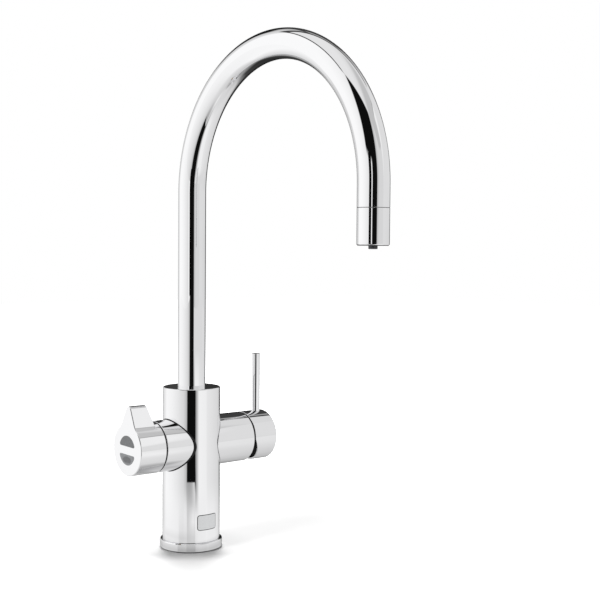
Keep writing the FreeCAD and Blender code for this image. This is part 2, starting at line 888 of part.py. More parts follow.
def bent_bar(radius, low_z, end_z):
    """A round bar that rises on the column's axis, bends over in a half circle and comes down to its end."""
    base = Part.Face(Part.Wire(Part.makeCircle(radius, Vector(0, 0, spring_z), UP)))
    riser = rod(Vector(0, 0, low_z), Vector(0, 0, spring_z), radius)
    arch = base.revolve(Vector(0, -arch_radius, spring_z), OUT, 180)
    leg = rod(Vector(0, outlet_y, spring_z), Vector(0, outlet_y, end_z), radius)
    return riser.fuse([arch, leg])


def spout_tube():
    return bent_bar(tube_r, tube_end_z, outlet_seam_z).cut(bent_bar(tube_bore_r, tube_end_z, outlet_seam_z))


def filtered_inner_tube():
    low = socket_floor_z - inner_tube_seat + free_gap
    end = nozzle_shoulder_z()
    return bent_bar(inner_tube_d / 2, low, end).cut(bent_bar(inner_tube_bore_d / 2, low, end))


def inner_seal_ring(spread):
    """Radius of the seal's centre line and of its section, grown by spread."""
    section = inner_seal_section / 2
    return inner_tube_d / 2 + section + fit_gap, section + spread


def inner_seal_groove():
    middle, section = inner_seal_ring(fit_gap)
    low = socket_floor_z - inner_tube_seat / 2 - section
    return rod(Vector(0, 0, low), Vector(0, 0, low + 2 * section), middle + section)


def filtered_tube_seal():
    middle, section = inner_seal_ring(-fit_gap)
    return Part.makeTorus(middle, section, Vector(0, 0, socket_floor_z - inner_tube_seat / 2), UP)


def swivel_bush_lower():
    inner = tube_r + running_gap
    outer = socket_r - fit_gap
    top = socket_floor_z + lower_bush_height
    ledge = socket_floor_z + bush_floor
    return turned_upright([
        (tail_bore_d / 2, socket_floor_z),
        (outer, socket_floor_z),
        (outer, top),
        (inner, top),
        (inner, ledge),
        (tail_bore_d / 2, ledge),
    ])


def swivel_bush_upper():
    return upright_ring(socket_r - fit_gap, tube_r + running_gap, core_top_z - upper_bush_height, core_top_z)


def swivel_seal_levels():
    return [socket_floor_z + swivel_seal_rise + i * swivel_seal_pitch for i in range(2)]


def swivel_seal_section():
    """Half the room between the groove's floor in the tail and the socket's wall."""
    return (socket_r - tube_r + swivel_seal_floor) / 2


def swivel_seals():
    middle = tube_r - swivel_seal_floor + swivel_seal_section()
    section = swivel_seal_section() - running_gap
    rings = [Part.makeTorus(middle, section, Vector(0, 0, z), UP) for z in swivel_seal_levels()]
    return Part.makeCompound(rings)


def swivel_tail():
    spigot = tube_bore_r - fit_gap
    body = turned_upright([
        (tail_bore_d / 2, tail_bottom_z),
        (tube_r, tail_bottom_z),
        (tube_r, tube_end_z),
        (spigot, tube_end_z),
        (spigot, tube_end_z + tail_spigot_length),
        (tail_bore_d / 2, tube_end_z + tail_spigot_length),
    ])
    half = swivel_seal_section()
    groove_r = tube_r - swivel_seal_floor
    grooves = [upright_ring(tube_d, groove_r, z - half, z + half) for z in swivel_seal_levels()]
    slot_half = stop_tip_d / 2 + free_gap
    floor_r = tube_r - stop_slot_depth
    end_angle = swivel_limit + math.degrees(math.asin((stop_tip_d / 2 + running_gap) / floor_r))
    corners = [(floor_r, stop_z - slot_half, 0), (tube_d, stop_z - slot_half, 0),
               (tube_d, stop_z + slot_half, 0), (floor_r, stop_z + slot_half, 0)]
    section = rounded_face(corners, lambda p: Vector(0, p.x, p.y))
    section.rotate(Vector(0, 0, 0), UP, -end_angle)
    slot = section.revolve(Vector(0, 0, 0), UP, 2 * end_angle)
    return body.cut(grooves + [slot])


def swivel_stop_screw():
    tip = Vector(0, tube_r - stop_tip_reach, stop_z)
    thread_start = Vector(0, socket_r, stop_z)
    head = Vector(0, column_r - column_top_round, stop_z)
    body = rod(thread_start, head, stop_screw_d / 2).fuse(rod(tip, thread_start, stop_tip_d / 2))
    return body.cut(hex_key(head, BACK, stop_screw_d)).removeSplitter()


# Outlet


def aerator_top_z():
    return outlet_end_z + aerator_recess + aerator_height


def nozzle_shoulder_z():
    return outlet_end_z + nozzle_shoulder_rise


def outlet_seal_z():
    return outlet_seam_z + outlet_seal_rise


def outlet_seal_half():
    """Half the section of the seal on the collar's spigot, let halfway into it."""
    return (tube_bore_r - outlet_spigot_bore_d / 2) / 3


def outlet_collar():
    spigot = tube_bore_r - fit_gap
    chamber = aerator_d / 2 + fit_gap
    shoulder = outlet_seam_z - outlet_seam
    top = outlet_seam_z + outlet_spigot_length
    body = turned_upright([
        (chamber, outlet_end_z),
        (tube_r, outlet_end_z, outlet_edge_round),
        (tube_r, shoulder),
        (spigot, shoulder),
        (spigot, top),
        (outlet_spigot_bore_d / 2, top),
        (outlet_spigot_bore_d / 2, aerator_top_z()),
        (chamber, aerator_top_z()),
    ], outlet_y)
    half = outlet_seal_half()
    level = outlet_seal_z()
    return body.cut(upright_ring(tube_d, tube_bore_r - 2 * half, level - half, level + half, outlet_y))


def outlet_seal():
    half = outlet_seal_half()
    return Part.makeTorus(tube_bore_r - half, half - fit_gap, Vector(0, outlet_y, outlet_seal_z()), UP)


def aerator_insert():
    low = outlet_end_z + aerator_recess
    plug = upright_ring(aerator_d / 2, nozzle_d / 2 + fit_gap, low, aerator_top_z(), outlet_y)
    half = aerator_slot_width / 2
    slot_low = Vector(aerator_slot_inner_d / 2, -half, low)
    slot_high = Vector(aerator_slot_outer_d / 2, half, aerator_top_z())
    slots = []
    for i in range(aerator_slots):
        slot = box(slot_low, slot_high)
        slot.rotate(Vector(0, 0, 0), UP, 360.0 * i / aerator_slots)
        slot.translate(BACK * outlet_y)
        slots.append(slot)
    return plug.cut(slots)


def filtered_nozzle():
    tip = outlet_end_z - nozzle_proud
    shoulder = nozzle_shoulder_z()
    top = shoulder + nozzle_shank_length
    shank = inner_tube_bore_d / 2 - fit_gap
    bore = nozzle_bore_d / 2
    return turned_upright([
        (bore, tip),
        (nozzle_d / 2 - nozzle_edge, tip),
        (nozzle_d / 2, tip + nozzle_edge),
        (nozzle_d / 2, shoulder),
        (shank, shoulder),
        (shank, top),
        (bore, top),
    ], outlet_y)


NODES = {
    "deck_gasket": deck_gasket,
    "base_flange": base_flange,
    "column": column,
    "waterway_core": waterway_core,
    "badge_plate": badge_plate,
    "filter_collar": filter_collar,
    "knob_wear_ring": knob_wear_ring,
    "selector_housing": selector_housing,
    "selector_fixed_disc": selector_fixed_disc_plate,
    "selector_gland_nut": selector_gland_nut,
    "selector_port_seals": lambda: port_seals(selector_seat, -1),
    "mixer_barrel": mixer_barrel,
    "cartridge_housing": cartridge_housing,
    "cartridge_base": cartridge_base,
    "mixer_fixed_disc": mixer_fixed_disc_plate,
    "cartridge_clamp_nut": cartridge_clamp_nut,
    "mixer_port_seals": lambda: port_seals(cartridge_seat, 1),
    "swivel_bush_upper": swivel_bush_upper,
    "swivel_bush_lower": swivel_bush_lower,
    "swivel_stop_screw": swivel_stop_screw,
    "filtered_tube_seal": filtered_tube_seal,
    "spout_tube": spout_tube,
    "swivel_tail": swivel_tail,
    "swivel_seals": swivel_seals,
    "filtered_inner_tube": filtered_inner_tube,
    "outlet_collar": outlet_collar,
    "outlet_seal": outlet_seal,
    "aerator_insert": aerator_insert,
    "filtered_nozzle": filtered_nozzle,
    "filter_knob": filter_knob,
    "upper_window": lambda: knob_window(1),
    "lower_window": lambda: knob_window(-1),
    "selector_spindle": selector_spindle,
    "spindle_seal": spindle_seal,
    "selector_moving_disc": selector_moving_disc_plate,
    "knob_set_screw": knob_set_screw,
    "lever_guide": lever_guide,
    "lever_pivot_pin": lever_pivot_pin,
    "mixer_handle": mixer_handle,
    "pin_lever": pin_lever,
    "mixer_stem": mixer_stem,
    "handle_set_screw": handle_set_screw,
    "disc_carrier": disc_carrier,
    "mixer_moving_disc": mixer_moving_disc_plate,
}

os.makedirs("parts", exist_ok=True)
for name, make in NODES.items():
    shape = make()
    print(name, len(shape.Solids), shape.isValid(), round(shape.Volume, 1))
    shape.exportStep("parts/" + name + ".step")
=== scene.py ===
"""Looks of a deck-mounted filtered-water mixer tap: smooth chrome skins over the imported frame, finishes for
the inner pieces, and a white studio with the camera where the photograph was taken."""
import math

import bpy
import numpy as np
from mathutils import Matrix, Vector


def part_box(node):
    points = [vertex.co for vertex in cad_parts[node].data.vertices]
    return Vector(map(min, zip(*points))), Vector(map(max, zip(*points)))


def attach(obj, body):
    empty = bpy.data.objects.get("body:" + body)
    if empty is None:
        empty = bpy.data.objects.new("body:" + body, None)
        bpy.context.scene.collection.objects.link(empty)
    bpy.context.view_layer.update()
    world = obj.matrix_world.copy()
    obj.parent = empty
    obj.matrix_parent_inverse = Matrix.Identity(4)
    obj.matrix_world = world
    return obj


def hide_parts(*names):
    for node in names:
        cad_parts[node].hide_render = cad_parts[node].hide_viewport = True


bl_info = {
    "name": "Arch tap looks",
    "version": (1, 0, 0),
    "blender": (4, 5, 0),
    "location": "3D View > Sidebar > Tap",
    "description": "Chrome skins, inner finishes and a studio for a filtered-water mixer tap",
    "category": "Object",
}

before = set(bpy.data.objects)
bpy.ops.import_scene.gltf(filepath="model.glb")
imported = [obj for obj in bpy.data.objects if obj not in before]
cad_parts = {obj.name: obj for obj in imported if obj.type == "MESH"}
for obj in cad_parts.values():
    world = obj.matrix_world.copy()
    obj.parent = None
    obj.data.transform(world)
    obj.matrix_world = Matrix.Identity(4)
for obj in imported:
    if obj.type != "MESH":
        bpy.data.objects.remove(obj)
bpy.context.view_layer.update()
MM = 0.001

# How finely the skins are drawn: rows and rings across a surface, columns round it, points along an outline
ROUND_STEPS = 6
SHADE_RINGS = 5
PLATE_RINGS = 14
RISER_ROWS = 12
BEND_ROWS = 181
LEG_ROWS = 4
ROUND_COLUMNS = 144
TUBE_COLUMNS = 96
LEVER_COLUMNS = 72
PLATE_COLUMNS = 240
WINDOW_COLUMNS = 180
CORNER_POINTS = 24
WINDOW_POINTS = 90
SKIRT_POINTS = 120
HOLLOW_POINTS = 60
FLANK_POINTS = 40
TIP_POINTS = 8

# Lengths too small to count, in millimetres
TINY = 1e-9
SAME_PLACE = 1e-6

# Fits of the thin pieces on the column, in millimetres: the dark sheets of painted shade round the plate and
# under the filtered-water branch, and the plate
SHADE_SHEET_PROUD = 0.03
SHADE_SHEET_SUNK = 0.3
SHADE_SHEET_EDGE = 0.02
PLATE_SUNK = 0.2
PLATE_EDGE = 0.12

# Height over the knob's round by which the thumb wing is all there, and by which its edges are fully rounded,
# and where the rows of the wing's back lie on the plain skirt, from the wing's root, in millimetres
WING_BLEND = 1.2
WING_FULL_ROUND = 1.0
PLAIN_ROWS = (-1.5, -0.05)


def span(node):
    """A node's lowest and highest corners in millimetres."""
    low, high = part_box(node)
    return np.array(low) / MM, np.array(high) / MM


# Sizes that the skins take from the frame, in millimetres. The tube's skin lies a little inside its solid.
COLUMN_LOW, COLUMN_HIGH = span("column")
FLANGE_LOW, FLANGE_HIGH = span("base_flange")
GASKET_LOW, GASKET_HIGH = span("deck_gasket")
COLLAR_LOW, COLLAR_HIGH = span("filter_collar")
BARREL_LOW, BARREL_HIGH = span("mixer_barrel")
KNOB_LOW, KNOB_HIGH = span("filter_knob")
HANDLE_LOW, HANDLE_HIGH = span("mixer_handle")
LEVER_LOW, LEVER_HIGH = span("pin_lever")
SPOUT_LOW, SPOUT_HIGH = span("spout_tube")
OUTLET_LOW, OUTLET_HIGH = span("outlet_collar")
BADGE_LOW, BADGE_HIGH = span("badge_plate")
WINDOW_BACK = span("upper_window")[1][0]
CROSS_Z = (BARREL_LOW[2] + BARREL_HIGH[2]) / 2
COLUMN_R = COLUMN_HIGH[0]
COLLAR_R = (COLLAR_HIGH[2] - COLLAR_LOW[2]) / 2
BARREL_R = (BARREL_HIGH[2] - BARREL_LOW[2]) / 2
TUBE_TRIM = 0.01
TUBE_R = SPOUT_HIGH[0] - TUBE_TRIM
OUTLET_Y = (OUTLET_LOW[1] + OUTLET_HIGH[1]) / 2
ARCH_R = -OUTLET_Y / 2
SPRING_Z = SPOUT_HIGH[2] - TUBE_R - ARCH_R


def linear(code):
    """Turns an sRGB hex colour into linear red, green, blue and a full alpha."""
    parts = [int(code[i:i + 2], 16) / 255 for i in (1, 3, 5)]
    return tuple(c / 12.92 if c <= 0.04045 else ((c + 0.055) / 1.055) ** 2.4 for c in parts) + (1.0,)


def length(name, description, size):
    """A length property whose default is given in millimetres."""
    return bpy.props.FloatProperty(name=name, description=description, default=size * MM, min=0.0,
                                   unit="LENGTH", precision=5)


def turn(name, description, degrees):
    """An angle property whose default is given in degrees."""
    return bpy.props.FloatProperty(name=name, description=description, default=math.radians(degrees),
                                   unit="ROTATION")


def colour(name, description, code):
    """A colour property whose default is an sRGB hex value."""
    return bpy.props.FloatVectorProperty(name=name, description=description, default=linear(code), size=4,
                                         min=0.0, max=1.0, subtype="COLOR")


def share(name, description, value):
    """A property between nought and one."""
    return bpy.props.FloatProperty(name=name, description=description, default=value, min=0.0, max=1.0,
                                   subtype="FACTOR")


class TapSizes(bpy.types.PropertyGroup):
    """Sizes of the skins that the frame's boxes don't give."""
    edge_round: length("Edge round", "Round on the edges of turned chrome pieces", 0.35)
    knife_round: length("Knife round", "Round on the thin saddle edges of the side branches", 0.3)
    fit_round: length("Hidden round", "Round on edges inside a fit", 0.15)
    flange_chamfer: length("Flange chamfer", "Chamfer round the top of the foot ring", 0.7)
    gasket_width: length("Gasket width", "Width of the rubber ring under the foot", 7.5)
    column_wall: length("Column wall", "Wall of the column's sleeve", 3.0)
    column_top_wall: length("Column top wall", "Thickness of the column's closed top", 4.0)
    column_top_round: length("Column top round", "Round on the column's top edge", 1.0)
    column_foot_chamfer: length("Column foot chamfer", "Chamfer where the column stands on its ring", 0.5)
    tube_gap: length("Tube gap", "Running gap between the spout and the column's top", 0.06)
    badge_corner: length("Badge corner", "Corner radius of the plate on the column", 1.8)
    badge_proud: length("Badge proud", "How far the plate stands out of the column", 0.18)
    badge_outline: length("Badge outline", "Width of the dark sheet of painted shade that shows round the plate", 0.55)
    saddle_gap: length("Saddle gap", "Gap between the side branches and the column", 0.1)
    bed_width: length("Shade ring width", "How far the dark ring of painted shade under the filtered-water branch shows round it", 0.75)
    bed_under: length("Shade ring under", "How far that ring of painted shade reaches in under the branch", 0.5)
    seam_trim: length("Seam trim", "How far each side of a seam is set back, so that the gap reads", 0.25)
    branch_bore: length("Branch bore", "Radius of the bore in each side branch", 19.1)
    mouth_round: length("Mouth round", "Round on the mouths of the side branches", 0.35)
    knob_skirt: length("Knob skirt", "Wall of the knob's skirt", 3.0)
    knob_face_wall: length("Knob face wall", "Thickness of the knob's face", 6.2)
    knob_face_round: length("Knob face round", "Round on the edge of the knob's face", 0.9)
    knob_boss: length("Knob boss", "Radius of the boss that holds the spindle", 8.0)
    knob_boss_length: length("Knob boss length", "Length of the boss inside the knob", 15.7)
    spindle_bore: length("Spindle bore", "Radius of the hole for the spindle", 5.05)
    wing_tip_width: length("Wing tip width", "Width of the thumb wing's tip before it is rounded", 5.3)
    wing_tip_round: length("Wing tip round", "Round on the two corners of the thumb wing's tip", 4.0)
    wing_flank: turn("Wing flank", "Angle of the thumb wing's flanks from its middle", 25.5)
    wing_lean: turn("Wing lean", "How far the thumb wing leans towards the user", 2.7)
    wing_reach: length("Wing reach", "Distance from the knob's axis to the wing's tip", 38.7)
    wing_root_round: length("Wing root round", "Radius of the hollow between wing and knob", 16.5)
    wing_tip_depth: length("Wing tip depth", "Depth of the thumb wing at its tip", 16.6)
    wing_root_depth: length("Wing root depth", "Depth of the thumb wing at its root", 20.6)
    window_radius: length("Window radius", "Radius of the circle that both windows lie in", 13.1)
    window_band: length("Window band", "Chrome band between the windows", 7.0)
    window_corner: length("Window corner", "Corner radius of a window", 1.6)
    window_lean: turn("Window lean", "How far the windows are turned on the knob's face", 1.0)
    window_drop: length("Window drop", "How far the windows' circle lies below the knob's axis", 0.4)
    window_proud: length("Window proud", "How far a window stands out of the knob's face", 0.06)
    handle_round: length("Handle round", "Round on the edge of the handle's face", 1.5)
    handle_bore: length("Handle bore", "Radius inside the handle's skirt", 21.5)
    handle_end_wall: length("Handle end wall", "Thickness of the handle's closed end", 13.2)
    handle_boss: length("Handle boss", "Radius of the boss that holds the stem", 8.5)
    handle_boss_length: length("Handle boss length", "Length of the boss inside the handle", 7.0)
    handle_slant: turn("Handle slant", "Slant of the lower rim, which is how far the lever tilts", 20.0)
    rim_height: length("Rim height", "How far the rubber rim stands out under the outlet", 0.45)
    rim_inset: length("Rim inset", "How far that rim lies in from the outlet's side", 0.7)
    seam_depth: length("Seam depth", "How far the washer in the outlet's seam lies under the chrome", 0.15)
    lever_radius: length("Lever radius", "Radius of the lever as photographed, over the frame's", 3.9)
    lever_round: length("Lever round", "Round on the lever's top edge", 0.4)
    tube_wall: length("Tube wall", "Wall of the spout tube", 1.5)
    outlet_seam: length("Outlet seam", "Gap between the tube's end and the outlet collar", 0.35)
    outlet_spigot: length("Outlet spigot", "Length of the collar's spigot inside the tube", 10.0)
    outlet_round: length("Outlet round", "Round on the outlet's lower edge", 0.8)
    aerator_radius: length("Aerator seat", "Radius of the seat for the aerator", 10.95)
    aerator_seat: length("Aerator depth", "Depth of the seat for the aerator", 10.0)
    spigot_bore: length("Spigot bore", "Radius of the waterway in the collar's spigot", 8.5)


class TapColours(bpy.types.PropertyGroup):
    """Colours of the finishes."""
    chrome: colour("Chrome", "Bright chrome plate", "#F1F1F2")
    badge: colour("Badge", "Bare plate on the column", "#DADBDC")
    brass: colour("Brass", "Turned brass of the waterways", "#C9A45C")
    oxide: colour("Oxidised brass", "Nuts inside the barrels", "#2A241C")
    steel: colour("Steel", "Stainless steel of screws and pins", "#B7B9BB")
    # Painted shade: the brass nuts are darkened so that the seams in front of them read dark
    rubber: colour("Rubber", "Seals and gasket", "#1A1A1B")
    # Bare casting, and painted shade: the insides are near black so that seams and gaps read as shade
    casting: colour("Casting", "Bare insides of the plated castings", "#1B1A19")
    black: colour("Black acetal", "Cartridge housings and the wear ring", "#1E1F21")
    bush: colour("Bush", "Low-friction bushes and the inner tube", "#E4E2DA")
    outlet: colour("Outlet", "Aerator and nozzle", "#47484B")
    ceramic: colour("Ceramic", "Lapped valve discs", "#EEECE6")
    window: colour("Window", "Smoked windows of the knob", "#6E7073")
    rim: colour("Rim", "Light rim of the lower window", "#8E9093")
    mark: colour("Mark", "Printed oval on the lower window", "#5C5D60")
    floor: colour("Floor", "Studio table", "#F2F2F2")


class TapStudio(bpy.types.PropertyGroup):
    """The studio: camera and light."""
    lens: bpy.props.FloatProperty(name="Lens", description="Focal length on a 36 mm wide sensor",
                                  default=68.23, unit="CAMERA")
    distance: length("Distance", "From the column's axis to the camera, along the floor", 1035.619)
    height: length("Height", "Height of the camera above the deck", 273.841)
    azimuth: turn("Azimuth", "Where the camera stands round the column", -34.775)
    yaw: turn("Yaw", "How far the camera looks past the column", 5.438)
    pitch: turn("Pitch", "How far the camera looks up", -2.660)
    roll: turn("Roll", "How far the camera leans", 0.447)
    table: length("White table", "How far the bright table reaches in reflections", 331.0)
    soft_light: share("Soft light", "Level of the even light from all round", 0.2)
    cloth: bpy.props.FloatProperty(name="Cloth", default=1.12, min=0.0,
                                   description="Brightness of the studio as the chrome shows it")


class WorkSizes:
    """The tap's sizes as the surfaces use them: lengths in millimetres, angles in radians."""

    def __init__(self, context):
        self.group = context.scene.tap_sizes

    def __getattr__(self, name):
        value = getattr(self.group, name)
        return value / MM if self.group.bl_rna.properties[name].unit == "LENGTH" else value


# Surfaces. Everything is in millimetres until a mesh is laid.


def unit(vectors):
    """Vectors scaled to length one."""
    return vectors / np.linalg.norm(vectors, axis=-1, keepdims=True)


def full_turn(count):
    """Even angles once round."""
    return np.linspace(0, 2 * np.pi, count, endpoint=False)


def circle(angles):
    """Points of a circle of radius one: cosine and sine."""
    return np.stack([np.cos(angles), np.sin(angles)], axis=-1)


def rotation(angle):
    """The matrix that turns a flat outline by an angle."""
    return np.array([[math.cos(angle), -math.sin(angle)], [math.sin(angle), math.cos(angle)]])


def lay_mesh(name, points, normals, inside=None):
    """Lays a grid of points as a closed mesh: each row runs round the piece and closes on itself, the rows
    close on each other unless they start and end in a pole, and a row of equal points becomes one vertex.
    Faces from the row named inside on take the second material."""
    rows, columns = points.shape[:2]
    index = np.arange(rows * columns).reshape(rows, columns)
    pole = np.ptp(points, axis=1).max(axis=1) < SAME_PLACE
    index[pole] = index[pole][:, :1]
    ring = index if pole[0] else np.vstack([index, index[:1]])
    near, far = ring[:-1], ring[1:]
    quads = np.stack([near, np.roll(near, -1, 1), np.roll(far, -1, 1), far], axis=-1).reshape(-1, 4)
    flat_points = points.reshape(-1, 3)
    flat_normals = normals.reshape(-1, 3)
    across = flat_points[quads[:, 2]] - flat_points[quads[:, 0]]
    over = flat_points[quads[:, 3]] - flat_points[quads[:, 1]]
    if np.sum(np.cross(across, over) * flat_normals[quads[:, 0]]) < 0:
        quads = quads[:, ::-1]
    used, place = np.unique(quads, return_inverse=True)
    quads = place.reshape(-1, 4)
    first = quads[:, 0] == quads[:, 1]
    last = quads[:, 2] == quads[:, 3]
    faces = quads[~first & ~last].tolist() + quads[first][:, 1:].tolist() + quads[last][:, :3].tolist()
    mesh = bpy.data.meshes.new(name)
    mesh.from_pydata((flat_points[used] * MM).tolist(), [], faces)
    if inside is not None:
        row = np.repeat(np.arange(len(near)), columns)
        row = np.concatenate([row[~first & ~last], row[first], row[last]])
        mesh.polygons.foreach_set("material_index", (row >= inside).astype(np.int32))
    mesh.shade_smooth()
    mesh.update()
    mesh.normals_split_custom_set_from_vertices(flat_normals[used].tolist())
    piece = bpy.data.objects.new(name, mesh)
    bpy.context.scene.collection.objects.link(piece)
    return piece


def rounded_edge(curve, before, after, radius):
    """The rows of one rounded edge. At each point of the edge curve, an arc of the radius turns from the
    normal of the face before to that of the face after; its centre lies back from the edge by the radius
    times the sum of the two normals, over one plus their dot product, so it is tangent to both. A negative
    radius is a hollow."""
    reach = 1 + np.sum(before * after, axis=-1, keepdims=True)
    centre = curve - radius * (before + after) / reach
    part = np.linspace(0, 1, ROUND_STEPS)[:, None, None]
    normals = unit(before * (1 - part) + after * part)
    return centre + radius * normals, normals


def rows_to(edges, last):
    """How many rows a skin has up to the end of one of its edges, less one."""
    return sum(ROUND_STEPS if np.any(edge[3]) else 1 for edge in edges[:last + 1]) - 1


def stacked(edges):
    """Rows of a skin from its edges, each a curve, the normals before and after it, and its radius."""
    rows = [rounded_edge(*edge) if np.any(edge[3]) else (edge[0][None], edge[1][None]) for edge in edges]
    return joined(rows)


def joined(runs):
    """Runs of points and normals put end to end."""
    return np.concatenate([points for points, _ in runs]), np.concatenate([normals for _, normals in runs])


class Axis:
    """A straight axis with two directions square to it, for pieces turned about it."""

    def __init__(self, origin, along, side, up):
        self.origin, self.along = np.array(origin, float), np.array(along, float)
        self.side, self.up = np.array(side, float), np.array(up, float)

    def across(self, flat):
        """Flat points or normals set square to the axis: the first value times side, the second times up."""
        return flat[:, :1] * self.side + flat[:, 1:] * self.up

    def radial(self, angles):
        """Unit vectors away from the axis: cosine times side plus sine times up."""
        return self.across(circle(angles))

    def at(self, along, outward):
        """Points at a distance along the axis and a vector away from it."""
        return self.origin + np.asarray(along, float).reshape(-1, 1) * self.along + outward


def upright(x, y):
    """An upright axis through a point of the deck."""
    return Axis((x, y, 0), (0, 0, 1), (1, 0, 0), (0, 1, 0))


COLUMN_AXIS = upright(0, 0)
OUTLET_AXIS = upright(0, OUTLET_Y)
CROSS = Axis((0, 0, CROSS_Z), (1, 0, 0), (0, 1, 0), (0, 0, 1))


def turned(name, corners, axis, columns=ROUND_COLUMNS):
    """A profile carried round an axis. The corners are distance along the axis, radius and round; the normal
    of each straight of the profile is its direction turned by a right angle, outwards by the sign of the
    profile's area. A profile that starts and ends on the axis closes in poles."""
    profile = np.array(corners, float)
    along, radius = profile[:, 0], profile[:, 1]
    area = np.sum(along * np.roll(radius, -1) - np.roll(along, -1) * radius)
    step = np.roll(profile[:, :2], -1, axis=0) - profile[:, :2]
    square = unit(np.stack([step[:, 1], -step[:, 0]], axis=-1)) * np.sign(area)
    radial = axis.radial(full_turn(columns))
    faces = square[:, :1, None] * axis.along + square[:, 1:, None] * radial
    edges = []
    for k, (place, reach, rounding) in enumerate(profile):
        before, after = faces[k - 1], faces[k]
        if reach == 0:
            before = after = faces[k] if k == 0 else faces[k - 1]
        edges.append((axis.at(place, reach * radial), before, after, rounding))
    return lay_mesh(name, *stacked(edges))


def saddled(name, radius, bore, mouth, side, sizes):
    """A side branch that meets the column: at angle p round the cross axis its saddle edge lies at the square
    root of the column's radius squared less the square of the radius times the cosine of p."""
    angles = full_turn(2 * ROUND_COLUMNS)
    radial = CROSS.radial(angles)
    out = np.broadcast_to(side * CROSS.along, radial.shape)
    seat = COLUMN_R + sizes.saddle_gap

    def saddle(reach):
        x = side * np.sqrt(seat ** 2 - (reach * np.cos(angles)) ** 2)
        towards = np.stack([-x, -reach * np.cos(angles), 0 * x], axis=-1)
        return CROSS.at(x, reach * radial), unit(towards)

    outer, outer_seat = saddle(radius)
    inner, inner_seat = saddle(bore)
    edges = [
        (outer, outer_seat, radial, sizes.knife_round),
        (CROSS.at(mouth, radius * radial), radial, out, sizes.mouth_round),
        (CROSS.at(mouth, bore * radial), out, -radial, sizes.mouth_round),
        (inner, -radial, inner_seat, sizes.knife_round),
    ]
    return lay_mesh(name, *stacked(edges), inside=rows_to(edges, 2))


def saddle_shade_ring(name, inner, outer, side):
    """A thin dark ring of painted shade on the column under a side branch, for the shade line of the joint:
    at angle p and radius r round the cross axis it lies at the square root of its own distance from the
    column's axis squared less the square of r times the cosine of p."""
    angles = full_turn(2 * ROUND_COLUMNS)
    front = np.linspace(inner, outer, SHADE_RINGS)
    radii = np.concatenate([front, front[::-1]])[:, None]
    seat = COLUMN_R + np.repeat([SHADE_SHEET_PROUD, -SHADE_SHEET_SUNK], SHADE_RINGS)[:, None]
    facing = np.repeat([1.0, -1.0], SHADE_RINGS)[:, None]
    y = radii * np.cos(angles)
    x = side * np.sqrt(seat ** 2 - y ** 2)
    points = np.stack([x, y, CROSS_Z + radii * np.sin(angles)], axis=-1)
    normals = np.stack([facing * x / seat, facing * y / seat, 0 * x], axis=-1)
    return lay_mesh(name, points, normals)


def outline_of(runs, count):
    """A closed outline resampled evenly along its length, from runs of points and their outward normals."""
    points, normals = joined(runs + runs[:1])
    last = len(points) - len(runs[0][0]) + 1
    points, normals = points[:last], normals[:last]
    walk = np.concatenate([[0], np.cumsum(np.linalg.norm(np.diff(points, axis=0), axis=1) + TINY)])
    at = np.linspace(0, walk[-1], count, endpoint=False)
    even, square = (np.stack([np.interp(at, walk, data[:, i]) for i in (0, 1)], axis=-1)
                    for data in (points, normals))
    return even, unit(square)


def arc(centre, radius, start, end, count, hollow=False):
    """Points and outward normals of an arc from one angle to another; a hollow one faces its own centre."""
    ray = circle(np.linspace(start, end, count))
    return np.array(centre) + radius * ray, -ray if hollow else ray


def rounded_oblong(width, height, corner, count):
    """A rectangle with round corners: four quarter circles joined by straights."""
    centre = np.array([width / 2 - corner, height / 2 - corner])
    quarter = np.pi / 2
    runs = [arc(centre * signs, corner, k * quarter, (k + 1) * quarter, CORNER_POINTS)
            for k, signs in enumerate(((1, 1), (-1, 1), (-1, -1), (1, -1)))]
    return outline_of(runs, count)


def column_plate(name, width, height, corner, proud, sunk, edge):
    """A plate bent round the front of the column: its outline scaled from the middle outwards, each point set
    on the round at the angle whose sine is its sideways place over the radius, then a rounded rim and a
    back."""
    outline, outward = rounded_oblong(width, height, corner, PLATE_COLUMNS)
    middle_z = (BADGE_LOW[2] + BADGE_HIGH[2]) / 2

    def on_round(flat, radius):
        angle = np.arcsin(flat[..., 0] / COLUMN_R)
        ray = np.stack([np.sin(angle), -np.cos(angle), 0 * angle], axis=-1)
        lift = np.stack([0 * angle, 0 * angle, middle_z + flat[..., 1]], axis=-1)
        return radius * ray + lift, ray

    rings = np.linspace(0, 1, PLATE_RINGS)[:, None, None]
    front, front_normal = on_round(rings * (outline - edge * outward), COLUMN_R + proud)
    rim, ray = on_round(outline, COLUMN_R + proud)
    across = np.stack([np.sqrt(1 - ray[:, 0] ** 2), ray[:, 0], 0 * ray[:, 0]], axis=-1)
    wall = unit(outward[:, :1] * across + outward[:, 1:] * COLUMN_AXIS.along)
    lip, lip_normal = rounded_edge(rim, ray, wall, edge)
    back, back_normal = on_round(rings[::-1] * outline, COLUMN_R - sunk)
    points = np.concatenate([front, lip[1:], back])
    normals = np.concatenate([front_normal, lip_normal[1:], -back_normal])
    return lay_mesh(name, points, normals)


